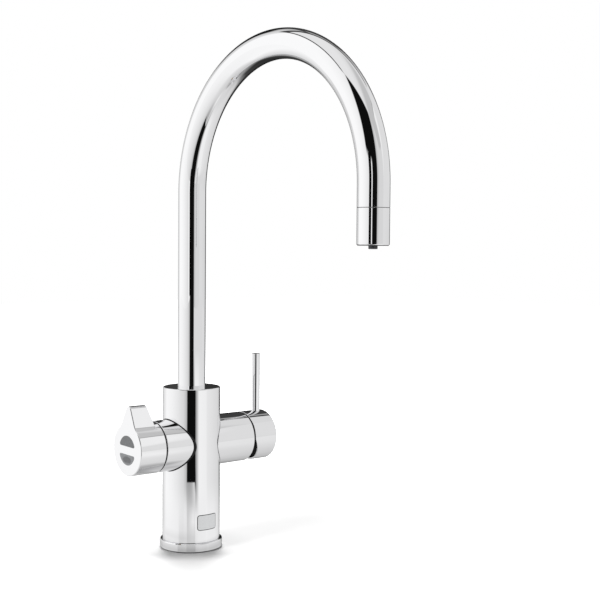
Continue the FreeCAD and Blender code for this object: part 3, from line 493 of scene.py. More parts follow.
def wing_outline(sizes):
    """Points and outward normals of the knob's outline seen along its axis, anticlockwise from below: the
    round, a hollow arc tangent to the round and to the wing's straight flank, the flank, and the flat tip
    with rounded corners, then the mirror."""
    flank, reach, root = sizes.wing_flank, sizes.wing_reach, sizes.wing_root_round
    half, corner = sizes.wing_tip_width / 2, sizes.wing_tip_round
    outward = np.array([math.cos(flank), math.sin(flank)])
    along = np.array([math.sin(flank), -math.cos(flank)])
    start = np.array([half, reach]) + outward * root
    run = start @ along
    centre = start - along * (run + math.sqrt(run ** 2 - start @ start + (COLLAR_R + root) ** 2))
    low = math.atan2(centre[1], centre[0])
    round_run = arc((0, 0), COLLAR_R, -np.pi / 2, low, SKIRT_POINTS)
    hollow_run = arc(centre, root, low + np.pi, flank + np.pi, HOLLOW_POINTS, hollow=True)
    back = corner * math.tan((np.pi / 2 - flank) / 2)
    tip_centre = np.array([half, reach]) + along * back - outward * corner
    corner_run = arc(tip_centre, corner, flank, np.pi / 2, CORNER_POINTS)
    straight = np.linspace(hollow_run[0][-1], corner_run[0][0], FLANK_POINTS)
    flank_run = straight, np.broadcast_to(outward, straight.shape)
    top = np.linspace(corner_run[0][-1], (0, reach), TIP_POINTS)
    top_run = top, np.broadcast_to(np.array([0.0, 1.0]), top.shape)
    right = [round_run, hollow_run, flank_run, corner_run, top_run]
    points, normals = joined([(run[:-1], facing[:-1]) for run, facing in right])
    flip = np.array([-1.0, 1.0])
    points = np.vstack([points, [[0, reach]], points[:0:-1] * flip])
    normals = np.vstack([normals, [[0, 1]], normals[:0:-1] * flip])
    return points, normals


def knob_skin(name, sizes):
    """The filtered-water knob. Its outline is carried from the face to the back edge, which on the wing lies
    on a plane that slopes from the root depth to the tip depth; that back plane falls straight to the round
    skirt, which runs on to the rim, and the inside is a turned hollow with the spindle's boss."""
    flat, square = wing_outline(sizes)
    lean = rotation(sizes.wing_lean).T

    def placed(x, outline):
        return CROSS.at(x, CROSS.across(outline @ lean))

    def facing(x, outline):
        return unit(np.asarray(x).reshape(-1, 1) * CROSS.along + CROSS.across(outline @ lean))

    count = len(flat)
    zero = np.zeros(count)
    face_x, rim_x = KNOB_LOW[0] + sizes.window_proud, KNOB_HIGH[0] - sizes.seam_trim
    root_x = face_x + sizes.wing_root_depth
    tip_x = face_x + sizes.wing_tip_depth
    slope = (tip_x - root_x) / (sizes.wing_reach - COLLAR_R)
    height = np.maximum(flat[:, 1] - COLLAR_R, 0)
    on_round = np.stack([flat[:, 0], np.sqrt(np.maximum(COLLAR_R ** 2 - flat[:, 0] ** 2, 0))], axis=-1)
    raised = (flat[:, 1] > 0) & (np.linalg.norm(flat, axis=1) > COLLAR_R + SAME_PLACE)
    base = np.where(raised[:, None], on_round, flat)
    drop = np.linalg.norm(flat - base, axis=1)
    wing = np.clip(drop / WING_BLEND, 0, 1)
    wing = (wing * wing * (3 - 2 * wing))[:, None]
    away = unit(base)
    front = np.broadcast_to(-CROSS.along, (count, 3))
    rear = -front
    slant = np.where(height > 0, -slope, 0.0)
    back_plane = facing(np.ones(count), np.stack([zero, slant], axis=-1))
    wall = facing(zero, square)
    skirt = facing(zero, away)
    wing_edge = (sizes.edge_round * np.minimum(drop / WING_FULL_ROUND, 1.0))[:, None] + TINY
    back_rows, back_normals = stacked([
        (placed(root_x + slope * height, flat), wall, back_plane, wing_edge),
        (placed(root_x, base), back_plane, skirt, -wing_edge),
    ])
    plain_rows = np.stack([placed(root_x + x, flat) for x in np.linspace(*PLAIN_ROWS, len(back_rows))])
    back_rows = plain_rows + wing * (back_rows - plain_rows)
    back_normals = unit(wall + wing * (back_normals - wall))
    skirt_r = COLLAR_R - sizes.knob_skirt
    floor_x = face_x + sizes.knob_face_wall
    boss_x = floor_x + sizes.knob_boss_length
    boss, bore, edge = sizes.knob_boss, sizes.spindle_bore, sizes.edge_round
    face = [
        (placed(face_x, 0 * flat), front, front, 0),
        (placed(face_x, flat), front, wall, sizes.knob_face_round),
    ]
    cup = [
        (placed(rim_x, COLLAR_R * away), skirt, rear, edge),
        (placed(rim_x, skirt_r * away), rear, -skirt, edge),
        (placed(floor_x, skirt_r * away), -skirt, rear, -edge),
        (placed(floor_x, boss * away), rear, skirt, -edge),
        (placed(boss_x, boss * away), skirt, rear, edge),
        (placed(boss_x, bore * away), rear, -skirt, edge),
        (placed(floor_x, bore * away), -skirt, rear, -edge),
        (placed(floor_x, 0 * flat), rear, rear, 0),
    ]
    inside = rows_to(face, 1) + 1 + len(back_rows) + rows_to(cup, 1)
    return lay_mesh(name, *joined([stacked(face), (back_rows, back_normals), stacked(cup)]), inside)


def window_pane(name, sign, sizes):
    """One window: a segment of a circle cut off by the middle band, its two corners rounded by arcs that
    touch both, carried from just proud of the knob's face to its depth."""
    radius, corner = sizes.window_radius, sizes.window_corner
    level = sizes.window_band / 2
    side = math.sqrt((radius - corner) ** 2 - (level + corner) ** 2)
    lean = math.atan2(level + corner, side)
    runs = [
        arc((side, level + corner), corner, -np.pi / 2, lean, CORNER_POINTS),
        arc((0, 0), radius, lean, np.pi - lean, WINDOW_POINTS),
        arc((-side, level + corner), corner, np.pi - lean, 1.5 * np.pi, CORNER_POINTS),
    ]
    outline, outward = outline_of(runs, WINDOW_COLUMNS)
    middle = np.array([0.0, (level + radius) / 2])
    spin = rotation(sizes.window_lean) @ np.diag([1.0, sign])
    drop = np.array([0.0, sizes.window_drop])
    outline, outward = outline @ spin.T - drop, outward @ spin.T
    centre = np.broadcast_to(spin @ middle - drop, outline.shape)

    def placed(x, flat):
        return CROSS.at(x, CROSS.across(flat))

    wall = CROSS.across(outward)
    front = np.broadcast_to(-CROSS.along, wall.shape)
    edges = [
        (placed(KNOB_LOW[0], centre), front, front, 0),
        (placed(KNOB_LOW[0], outline), front, wall, sizes.fit_round),
        (placed(WINDOW_BACK, outline), wall, -front, sizes.fit_round),
        (placed(WINDOW_BACK, centre), -front, -front, 0),
    ]
    return lay_mesh(name, *stacked(edges))


def handle_skin(name, sizes):
    """The mixer handle: a round cap whose rim is square above the cross axis and below it lies on a plane
    that slants back by the lever's tilt, at rim plus depth below the axis times the slant's tangent."""
    angles = full_turn(2 * ROUND_COLUMNS)
    radial = CROSS.radial(angles)
    fall = np.maximum(-np.sin(angles), 0)
    slant = math.tan(sizes.handle_slant)
    out = np.broadcast_to(CROSS.along, radial.shape)
    rim = -unit(out + np.where(fall > 0, slant, 0)[:, None] * CROSS.up)
    face_x, rim_x = HANDLE_HIGH[0], HANDLE_LOW[0] + sizes.seam_trim
    floor_x = face_x - sizes.handle_end_wall
    boss_x = floor_x - sizes.handle_boss_length
    bore, boss, edge = sizes.handle_bore, sizes.handle_boss, sizes.edge_round
    axis_point = 0 * radial
    edges = [
        (CROSS.at(face_x, axis_point), out, out, 0),
        (CROSS.at(face_x, BARREL_R * radial), out, radial, sizes.handle_round),
        (CROSS.at(rim_x + BARREL_R * fall * slant, BARREL_R * radial), radial, rim, edge),
        (CROSS.at(rim_x + bore * fall * slant, bore * radial), rim, -radial, edge),
        (CROSS.at(floor_x, bore * radial), -radial, -out, -edge),
        (CROSS.at(floor_x, boss * radial), -out, radial, -edge),
        (CROSS.at(boss_x, boss * radial), radial, -out, edge),
        (CROSS.at(boss_x, axis_point), -out, -out, 0),
    ]
    return lay_mesh(name, *stacked(edges), inside=rows_to(edges, 3))


def spout_skin(name, sizes):
    """The bent tube: a circle carried up the riser, round a half circle of the arch's radius and down the leg
    to the seam, with a rounded lip at each end and the same path back inside at the bore's radius."""
    seam_z = OUTLET_HIGH[2] - sizes.outlet_spigot
    bends = np.linspace(0, np.pi, BEND_ROWS)
    riser = np.linspace(SPOUT_LOW[2], SPRING_Z, RISER_ROWS, endpoint=False)
    leg = np.linspace(SPRING_Z, seam_z, LEG_ROWS)[1:]
    bend = np.concatenate([0 * riser, bends, 0 * leg + np.pi])
    y = np.concatenate([0 * riser, ARCH_R * (np.cos(bends) - 1), 0 * leg + OUTLET_Y])
    z = np.concatenate([riser, SPRING_Z + ARCH_R * np.sin(bends), leg])
    path = np.stack([0 * y, y, z], axis=-1)[:, None]
    angles = full_turn(TUBE_COLUMNS)[None, :, None]
    away = np.stack([0 * bend, np.cos(bend), np.sin(bend)], axis=-1)[:, None]
    ray = np.cos(angles) * CROSS.along + np.sin(angles) * away
    forward = np.stack([0 * bend, -np.sin(bend), np.cos(bend)], axis=-1)[:, None]
    outer = path + TUBE_R * ray
    inner = path + (TUBE_R - sizes.tube_wall) * ray
    lip = sizes.fit_round
    end = np.broadcast_to(forward[-1], ray[-1].shape)
    start = -np.broadcast_to(forward[0], ray[0].shape)
    ends = stacked([(outer[-1], ray[-1], end, lip), (inner[-1], end, -ray[-1], lip)])
    starts = stacked([(inner[0], -ray[0], start, lip), (outer[0], start, ray[0], lip)])
    runs = [(outer[1:-1], ray[1:-1]), ends, (inner[-2:0:-1], -ray[-2:0:-1]), starts]
    return lay_mesh(name, *joined(runs))


# Finishes


def add_node(tree, kind, values=None, **settings):
    """Adds a node; settings are its properties, and values, numbers or other sockets, go to its inputs."""
    new = tree.nodes.new(kind)
    for key, value in settings.items():
        setattr(new, key, value)
    for key, value in (values or {}).items():
        if isinstance(value, bpy.types.NodeSocket):
            tree.links.new(value, new.inputs[key])
        else:
            new.inputs[key].default_value = value
    return new


def finish(name, tint, metallic, rough, grain, bump, stretch=(1, 1, 1), shade=0.0, coat=0.0):
    """A finish from a noise of the given grain in millimetres on object coordinates: it moves the roughness
    between two values, darkens the colour by up to shade, and lifts the surface by bump in millimetres."""
    material = bpy.data.materials.get(name)
    if material:
        return material
    material = bpy.data.materials.new(name)
    material.use_nodes = True
    tree = material.node_tree
    shader = tree.nodes["Principled BSDF"]
    place = add_node(tree, "ShaderNodeTexCoord")
    mapped = add_node(tree, "ShaderNodeMapping", {"Vector": place.outputs["Object"], "Scale": stretch})
    noise = add_node(tree, "ShaderNodeTexNoise", {
        "Vector": mapped.outputs["Vector"], "Scale": 1 / (grain * MM), "Detail": 4.0, "Roughness": 0.55})
    level = noise.outputs["Fac"]
    roughness = add_node(tree, "ShaderNodeMapRange", {
        "Value": level, "From Min": 0.3, "From Max": 0.7, "To Min": rough[0], "To Max": rough[1]})
    base = tuple(tint)
    dark = tuple(c * (1 - shade) for c in base[:3]) + (1.0,)
    tone = add_node(tree, "ShaderNodeMix", {0: level, 6: base, 7: dark}, data_type="RGBA")
    lift = add_node(tree, "ShaderNodeBump", {"Height": level, "Strength": 1.0, "Distance": bump * MM})
    shader.inputs["Metallic"].default_value = metallic
    shader.inputs["Coat Weight"].default_value = coat
    tree.links.new(tone.outputs[2], shader.inputs["Base Color"])
    tree.links.new(roughness.outputs["Result"], shader.inputs["Roughness"])
    tree.links.new(lift.outputs["Normal"], shader.inputs["Normal"])
    return material


def chrome(context):
    # Bright chrome over polished brass: a near mirror with a faint haze in patches
    return finish("polished_chrome_plate", context.scene.tap_colours.chrome, 1.0, (0.012, 0.03), 22.0, 0.0001,
                  shade=0.02)


def casting(context):
    # Inside of a plated casting: bare and dull, and painted dark as shade, so that seams and gaps read black
    return finish("unplated_casting", context.scene.tap_colours.casting, 0.0, (0.6, 0.8), 0.8, 0.01,
                  shade=0.3)


def rubber(context):
    # Moulded nitrile rubber: near black, dull, with a fine pebbled skin
    return finish("moulded_nitrile_rubber", context.scene.tap_colours.rubber, 0.0, (0.55, 0.75), 0.6, 0.02,
                  shade=0.3)


def printed_pane(context):
    """The lower window's finish: smoked like the other, lighter at the rim, with a soft dark oval in the
    middle, where the distance from the middle, as shares of the pane's width and height, is small."""
    colours = context.scene.tap_colours
    oval_end, oval_start = 0.34, 0.24
    # Smoked polycarbonate printed on its back: a dark soft-edged oval under a lighter rim
    material = finish("printed_polycarbonate", colours.rim, 0.0, (0.2, 0.3), 6.0, 0.001, shade=0.15, coat=0.4)
    tree = material.node_tree
    low, high = (corner * MM for corner in span("lower_window"))
    middle = tuple((low + high) / 2)
    _, wide, tall = high - low
    place = add_node(tree, "ShaderNodeTexCoord")
    shifted = add_node(tree, "ShaderNodeVectorMath", {0: place.outputs["Object"], 1: middle},
                       operation="SUBTRACT")
    oval = add_node(tree, "ShaderNodeVectorMath", {0: shifted.outputs[0], 1: (0, 1 / wide, 1 / tall)},
                    operation="MULTIPLY")
    away = add_node(tree, "ShaderNodeVectorMath", {0: oval.outputs[0]}, operation="LENGTH")
    mark = add_node(tree, "ShaderNodeMapRange", {
        "Value": away.outputs["Value"], "From Min": oval_end, "From Max": oval_start})
    tone = add_node(tree, "ShaderNodeMix", {
        0: mark.outputs[0], 6: tuple(colours.rim), 7: tuple(colours.mark)}, data_type="RGBA")
    tree.links.new(tone.outputs[2], tree.nodes["Principled BSDF"].inputs["Base Color"])
    return material


def place_piece(piece, body, slot, materials, *nodes):
    """Gives a new piece its finishes and its body, and hides the frame's nodes that it stands for, if any.
    The slot is not used.
    """
    for material in materials:
        piece.data.materials.append(material)
    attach(piece, body)
    if nodes:
        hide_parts(*nodes)


def finish_nodes(material, *nodes):
    """Gives nodes of the frame a finish through their own material slots."""
    for node in nodes:
        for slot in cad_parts[node].material_slots:
            slot.material = material


# Operators


class TAP_OT_foot(bpy.types.Operator):
    """Builds the chromed foot ring and the rubber gasket under it"""
    bl_idname = "tap.foot"
    bl_label = "Foot ring and gasket"

    def execute(self, context):
        sizes = WorkSizes(context)
        edge, small = sizes.edge_round, sizes.fit_round
        bore, outer = COLUMN_R - sizes.column_wall, FLANGE_HIGH[0]
        low, high = FLANGE_LOW[2], FLANGE_HIGH[2]
        chamfer = sizes.flange_chamfer
        ring = turned("foot_ring", [
            (low, bore, small), (low, outer, edge), (high - chamfer, outer, edge),
            (high, outer - chamfer, edge), (high, bore, small)], COLUMN_AXIS)
        place_piece(ring, "tap_body", "polished_chrome", (chrome(context),), "base_flange")
        outer, low, high = GASKET_HIGH[0], GASKET_LOW[2], GASKET_HIGH[2]
        bore = outer - sizes.gasket_width
        gasket = turned("gasket_ring", [
            (low, bore, small), (low, outer, small), (high, outer, small), (high, bore, small)], COLUMN_AXIS)
        place_piece(gasket, "tap_body", "rubber", (rubber(context),), "deck_gasket")
        return {"FINISHED"}


class TAP_OT_column(bpy.types.Operator):
    """Builds the chromed column and the bare plate on its front"""
    bl_idname = "tap.column"
    bl_label = "Column and plate"

    def execute(self, context):
        sizes = WorkSizes(context)
        small, chamfer = sizes.fit_round, sizes.column_foot_chamfer
        low, high = COLUMN_LOW[2], COLUMN_HIGH[2]
        bore, hole = COLUMN_R - sizes.column_wall, TUBE_R + sizes.tube_gap
        under = high - sizes.column_top_wall
        column = turned("column_sleeve", [
            (low, bore, small), (low, COLUMN_R - chamfer, small), (low + chamfer, COLUMN_R, small),
            (high, COLUMN_R, sizes.column_top_round), (high, hole, small), (under, hole, small),
            (under, bore, -small)], COLUMN_AXIS)
        place_piece(column, "tap_body", "polished_chrome", (chrome(context),), "column")
        width, height = BADGE_HIGH[0] - BADGE_LOW[0], BADGE_HIGH[2] - BADGE_LOW[2]
        corner, spread = sizes.badge_corner, sizes.badge_outline
        # A dark sheet of painted shade round the plate, standing for the shadow in the gap round it
        shade_sheet = column_plate("plate_bed", width + 2 * spread, height + 2 * spread, corner + spread,
                           SHADE_SHEET_PROUD, SHADE_SHEET_SUNK, SHADE_SHEET_EDGE)
        place_piece(shade_sheet, "tap_body", "rubber", (rubber(context),))
        plate = column_plate("bare_plate", width, height, corner, sizes.badge_proud, PLATE_SUNK, PLATE_EDGE)
        # Chrome plate gone over with a fine abrasive: greyer and softer than the column
        satin = finish("satin_chrome_plate", context.scene.tap_colours.badge, 1.0, (0.12, 0.2), 1.5, 0.0005,
                       stretch=(1, 1, 8), shade=0.1)
        place_piece(plate, "tap_body", "badge_chrome", (satin,), "badge_plate")
        return {"FINISHED"}


class TAP_OT_branches(bpy.types.Operator):
    """Builds the two fixed side branches, saddled to the column"""
    bl_idname = "tap.branches"
    bl_label = "Side branches"

    def execute(self, context):
        sizes = WorkSizes(context)
        bore, trim = sizes.branch_bore, sizes.seam_trim
        plated = chrome(context), casting(context)
        collar = saddled("filter_branch", COLLAR_R, bore, COLLAR_LOW[0] + trim, -1, sizes)
        place_piece(collar, "tap_body", "polished_chrome", plated, "filter_collar")
        # A dark ring of painted shade on the column round the filtered-water branch, for the shade line of
        # the joint
        shade_sheet = saddle_shade_ring("branch_bed", COLLAR_R - sizes.bed_under, COLLAR_R + sizes.bed_width, -1)
        place_piece(shade_sheet, "tap_body", "rubber", (rubber(context),))
        barrel = saddled("mixer_branch", BARREL_R, bore, BARREL_HIGH[0] - trim, 1, sizes)
        place_piece(barrel, "tap_body", "polished_chrome", plated, "mixer_barrel")
        return {"FINISHED"}


class TAP_OT_knob(bpy.types.Operator):
    """Builds the filtered-water knob with its thumb wing and two windows"""
    bl_idname = "tap.knob"
    bl_label = "Filtered-water knob"

    def execute(self, context):
        sizes = WorkSizes(context)
        body = "filter_knob_turning"
        knob = knob_skin("filter_knob_skin", sizes)
        # The column would show a dark streak of the wing, which the photograph doesn't have
        knob.visible_glossy = False
        place_piece(knob, body, "polished_chrome", (chrome(context), casting(context)), "filter_knob")
        # Smoked polycarbonate: mid grey, glossy, with a slight unevenness of tint
        smoked = finish("smoked_polycarbonate", context.scene.tap_colours.window, 0.0, (0.2, 0.3), 6.0, 0.001,
                        shade=0.15, coat=0.4)
        place_piece(window_pane("upper_pane", 1, sizes), body, "window", (smoked,), "upper_window")
        lower = window_pane("lower_pane", -1, sizes)
        place_piece(lower, body, "window", (printed_pane(context),), "lower_window")
        return {"FINISHED"}


class TAP_OT_lever(bpy.types.Operator):
    """Builds the mixer handle and its pin lever"""
    bl_idname = "tap.lever"
    bl_label = "Mixer handle and lever"

    def execute(self, context):
        sizes = WorkSizes(context)
        handle = handle_skin("mixer_cap", sizes)
        plated = chrome(context), casting(context)
        place_piece(handle, "mixer_lever", "polished_chrome", plated, "mixer_handle")
        x, y, _ = (LEVER_LOW + LEVER_HIGH) / 2
        low, high = LEVER_LOW[2], LEVER_HIGH[2]
        radius, edge = sizes.lever_radius, sizes.lever_round
        lever = turned("lever_pin", [(low, 0, 0), (low, radius, edge), (high, radius, edge), (high, 0, 0)],
                       upright(x, y), LEVER_COLUMNS)
        place_piece(lever, "mixer_lever", "polished_chrome", (chrome(context),), "pin_lever")
        return {"FINISHED"}


class TAP_OT_spout(bpy.types.Operator):
    """Builds the arch spout and its outlet collar"""
    bl_idname = "tap.spout"
    bl_label = "Arch spout and outlet"

    def execute(self, context):
        sizes = WorkSizes(context)
        tube = spout_skin("arch_tube", sizes)
        place_piece(tube, "spout", "polished_chrome", (chrome(context),), "spout_tube")
        low, top = OUTLET_LOW[2], OUTLET_HIGH[2]
        small, edge = sizes.fit_round, sizes.outlet_round
        seat, bore = sizes.aerator_radius, sizes.spigot_bore
        shoulder = top - sizes.outlet_spigot - sizes.outlet_seam
        shelf = low + sizes.aerator_seat
        spigot = TUBE_R - sizes.tube_wall - sizes.tube_gap
        collar = turned("outlet_ring", [
            (low, seat, small), (low, TUBE_R, edge), (shoulder, TUBE_R, small), (shoulder, spigot, -small),
            (top, spigot, small), (top, bore, small), (shelf, bore, small), (shelf, seat, -small)],
            OUTLET_AXIS, TUBE_COLUMNS)
        place_piece(collar, "spout", "polished_chrome", (chrome(context),), "outlet_collar")
        seam, washer_r = shoulder + sizes.outlet_seam, TUBE_R - sizes.seam_depth
        washer = turned("seam_washer", [
            (shoulder, spigot, 0), (shoulder, washer_r, 0), (seam, washer_r, 0), (seam, spigot, 0)],
            OUTLET_AXIS, TUBE_COLUMNS)
        place_piece(washer, "spout", "rubber", (rubber(context),))
        rim_low, rim_r = low - sizes.rim_height, TUBE_R - sizes.rim_inset
        rim = turned("aerator_rim", [
            (rim_low, seat, small), (rim_low, rim_r, small), (low + edge, rim_r, 0), (low + edge, seat, 0)],
            OUTLET_AXIS, TUBE_COLUMNS)
        place_piece(rim, "spout", "rubber", (rubber(context),))
        return {"FINISHED"}


class TAP_OT_inner(bpy.types.Operator):
    """Gives the inner pieces of the frame their finishes"""
    bl_idname = "tap.inner"
    bl_label = "Inner finishes"

    def execute(self, context):
        colours = context.scene.tap_colours
        # Turned free-cutting brass: warm yellow with fine rings from the tool
        brass = finish("turned_brass", colours.brass, 1.0, (0.22, 0.38), 1.2, 0.002, (1, 1, 6), 0.18)
        finish_nodes(brass, "waterway_core", "selector_spindle", "swivel_tail")
        # Brass of the two nuts inside the barrels, painted brown-black as shade, so that the seams read dark
        shaded_nut_brass = finish("oxidised_brass", colours.oxide, 1.0, (0.4, 0.6), 1.2, 0.002, (1, 1, 6), 0.25)
        finish_nodes(shaded_nut_brass, "selector_gland_nut", "cartridge_clamp_nut")
        # Stainless steel bar: cool grey with drawn streaks
        steel = finish("drawn_stainless_steel", colours.steel, 1.0, (0.2, 0.35), 0.8, 0.001, (1, 1, 6), 0.12)
        finish_nodes(steel, "swivel_stop_screw", "knob_set_screw", "handle_set_screw", "lever_pivot_pin",
                     "mixer_stem")
        finish_nodes(rubber(context), "selector_port_seals", "mixer_port_seals", "filtered_tube_seal",
                     "swivel_seals", "outlet_seal", "spindle_seal")
        # Moulded acetal: black, slightly waxy
        acetal = finish("moulded_black_acetal", colours.black, 0.0, (0.35, 0.5), 0.9, 0.004, shade=0.25)
        finish_nodes(acetal, "knob_wear_ring", "cartridge_housing", "cartridge_base", "selector_housing",
                     "lever_guide", "disc_carrier")
        # Low-friction bearing plastic: ivory, dull
        bearing = finish("ivory_bearing_plastic", colours.bush, 0.0, (0.4, 0.55), 1.0, 0.004, shade=0.08)
        finish_nodes(bearing, "swivel_bush_upper", "swivel_bush_lower", "filtered_inner_tube")
        # Moulded grey acetal of the outlet: dark, satin
        outlet = finish("moulded_grey_acetal", colours.outlet, 0.0, (0.35, 0.5), 0.8, 0.004, shade=0.2)
        finish_nodes(outlet, "aerator_insert", "filtered_nozzle")
        # Lapped alumina: cream white, close to a polish
        ceramic = finish("lapped_alumina", colours.ceramic, 0.0, (0.12, 0.22), 0.7, 0.0005, shade=0.05)
        finish_nodes(ceramic, "selector_fixed_disc", "selector_moving_disc", "mixer_fixed_disc",
                     "mixer_moving_disc")
        return {"FINISHED"}


# Stage, in metres and radians

# Grey levels that the chrome shows of the studio, by degrees to the right of the camera's own direction: the
# walls, the floor far off, and the glossy table close to the tap. On the floor they are painted light and
# shade in its glow, darker behind the tap.
WALLS = (
    (-180, 60), (-175, 60), (-171, 170), (-150, 205), (-132, 219), (-125, 252), (-95, 252), (-70, 245),
    (-45, 232), (-32, 222), (-28, 243), (-20, 243), (20, 190), (30, 214), (60, 215), (66, 222), (92, 220),
    (125, 214), (140, 205), (150, 100), (180, 60))
FAR_FLOOR = (
    (-180, 45), (-168, 60), (-160, 150), (-155, 202), (-141, 222), (-128, 236), (-116, 250), (-105, 249),
    (-80, 244), (-55, 233), (-25, 212), (-21, 212), (-17, 185), (0, 182), (6, 200), (11, 216), (14, 214),
    (17, 152), (19, 160), (23, 190), (27, 226), (31, 243), (59, 240), (66, 231), (80, 228), (125, 217),
    (138, 205), (147, 130), (155, 60), (180, 45))
TABLE = (
    (-180, 140), (-160, 165), (-142, 184), (-131, 197), (-118, 207), (-100, 210), (-20, 208), (45, 214),
    (95, 211), (125, 196), (142, 184), (160, 150), (180, 140))
# The dark gap between the walls, behind the camera, from its left to its right edge
GAP = (math.radians(-16.8), math.radians(16.5))
# A limit that nothing reaches
OPEN = 99.0
# Least height of a direction by which its other parts are divided, and how far the soft box's edges slant
LEAST_LIFT = 0.05
BOX_SLANT = -0.55
# Half the floor's width, and where the near table starts to give way to the far floor
FLOOR_HALF = 4.0
TABLE_FADE = 0.12
# The black flag: how far it stands towards the camera and to the right, half its width, the heights of its
# lower and upper edges, and its grey level
FLAG_NEAR, FLAG_RIGHT, FLAG_HALF = 0.655, -0.156, 0.0954
FLAG_LOW, FLAG_HIGH = 0.20, 0.50
FLAG_LEVEL = 10
# The lamps: name, place, width, depth and power in watts, and the point that they face
LAMPS = (("side", (-1.1, -0.1, 1.15), 0.4, 0.4, 5.5), ("behind", (0.45, 0.65, 1.6), 0.5, 1.3, 27.5))
LAMP_AIM = (0, -0.05, 0.1)
# The camera's sensor in millimetres, and the nearest that it sees
SENSOR_WIDTH = 36.0
NEAREST_SEEN = 0.01
UP = np.array([0.0, 0.0, 1.0])


def grey_level(code):
    """The linear grey of an sRGB level from 0 to 255."""
    return linear("#" + "%02X" % code * 3)


def camera_axes(azimuth):
    """The level directions to the camera's right and towards it, from where it stands round the column."""
    right = np.array([math.cos(azimuth), math.sin(azimuth), 0.0])
    return right, np.array([right[1], -right[0], 0.0])


def swung(first, second, angle):
    """Two directions square to each other, turned in their own plane, the first towards the second."""
    return (first * math.cos(angle) + second * math.sin(angle),
            second * math.cos(angle) - first * math.sin(angle))


def set_down(item, spot, right, up, back):
    """Puts a lamp or a camera at a spot, so that it looks away from its back."""
    item.matrix_world = Matrix(np.column_stack([right, up, back]).tolist()).to_4x4()
    item.location = spot


def bare_tree(owner):
    """The node tree of a material or a world, emptied."""
    owner.use_nodes = True
    owner.node_tree.nodes.clear()
    return owner.node_tree


def stage_sheet(context, name, corners, material):
    """A four-cornered sheet that is part of the stage."""
    mesh = bpy.data.meshes.new(name)
    mesh.from_pydata([tuple(corner) for corner in corners], [], [(0, 1, 2, 3)])
    mesh.materials.append(material)
    sheet = bpy.data.objects.new(name, mesh)
    context.scene.collection.objects.link(sheet)
    return sheet


def studio_level(tree, bearing, levels):
    """The level of the studio at a bearing, from a ramp between given levels."""
    at = add_node(tree, "ShaderNodeMapRange", {"Value": bearing, "From Min": -math.pi, "From Max": math.pi})
    ramp = add_node(tree, "ShaderNodeValToRGB", {"Fac": at.outputs["Result"]})
    stops = ramp.color_ramp.elements
    for _ in range(len(levels) - 2):
        stops.new(0.5)
    for stop, (degrees, level) in zip(stops, levels):
        stop.position = (degrees + 180) / 360
        stop.color = grey_level(level)
    return ramp.outputs["Color"]


def camera_parts(tree, vector, azimuth):
    """A vector's part to the right of the camera, its part towards the camera, and its bearing, which is the
    arc tangent of the first over the second."""
    right, near = (
        add_node(tree, "ShaderNodeVectorMath", {0: vector, 1: axis}, operation="DOT_PRODUCT").outputs["Value"]
        for axis in camera_axes(azimuth))
    return right, near, add_node(tree, "ShaderNodeMath", {0: right, 1: near}, operation="ARCTAN2").outputs[0]


def lay_patches(tree, under, patches, most=1.0):
    """Lays grey levels over a colour, one after the other. Each patch is a level and its limits: it lies
    where every value given is between its two limits, with soft edges, and it hides at most a share of what
    is under it."""
    for level, *limits in patches:
        cover = most
        for value, low, high, edge in limits:
            rise = add_node(tree, "ShaderNodeMapRange", {
                "Value": value, "From Min": low - edge, "From Max": low + edge})
            fall = add_node(tree, "ShaderNodeMapRange", {
                "Value": value, "From Min": high + edge, "From Max": high - edge})
            for part in (rise, fall):
                cover = add_node(tree, "ShaderNodeMath", {0: part.outputs[0], 1: cover},
                                 operation="MULTIPLY").outputs[0]
        under = add_node(tree, "ShaderNodeMix", {0: cover, 6: under, 7: grey_level(level)},
                         data_type="RGBA").outputs[2]
    return under


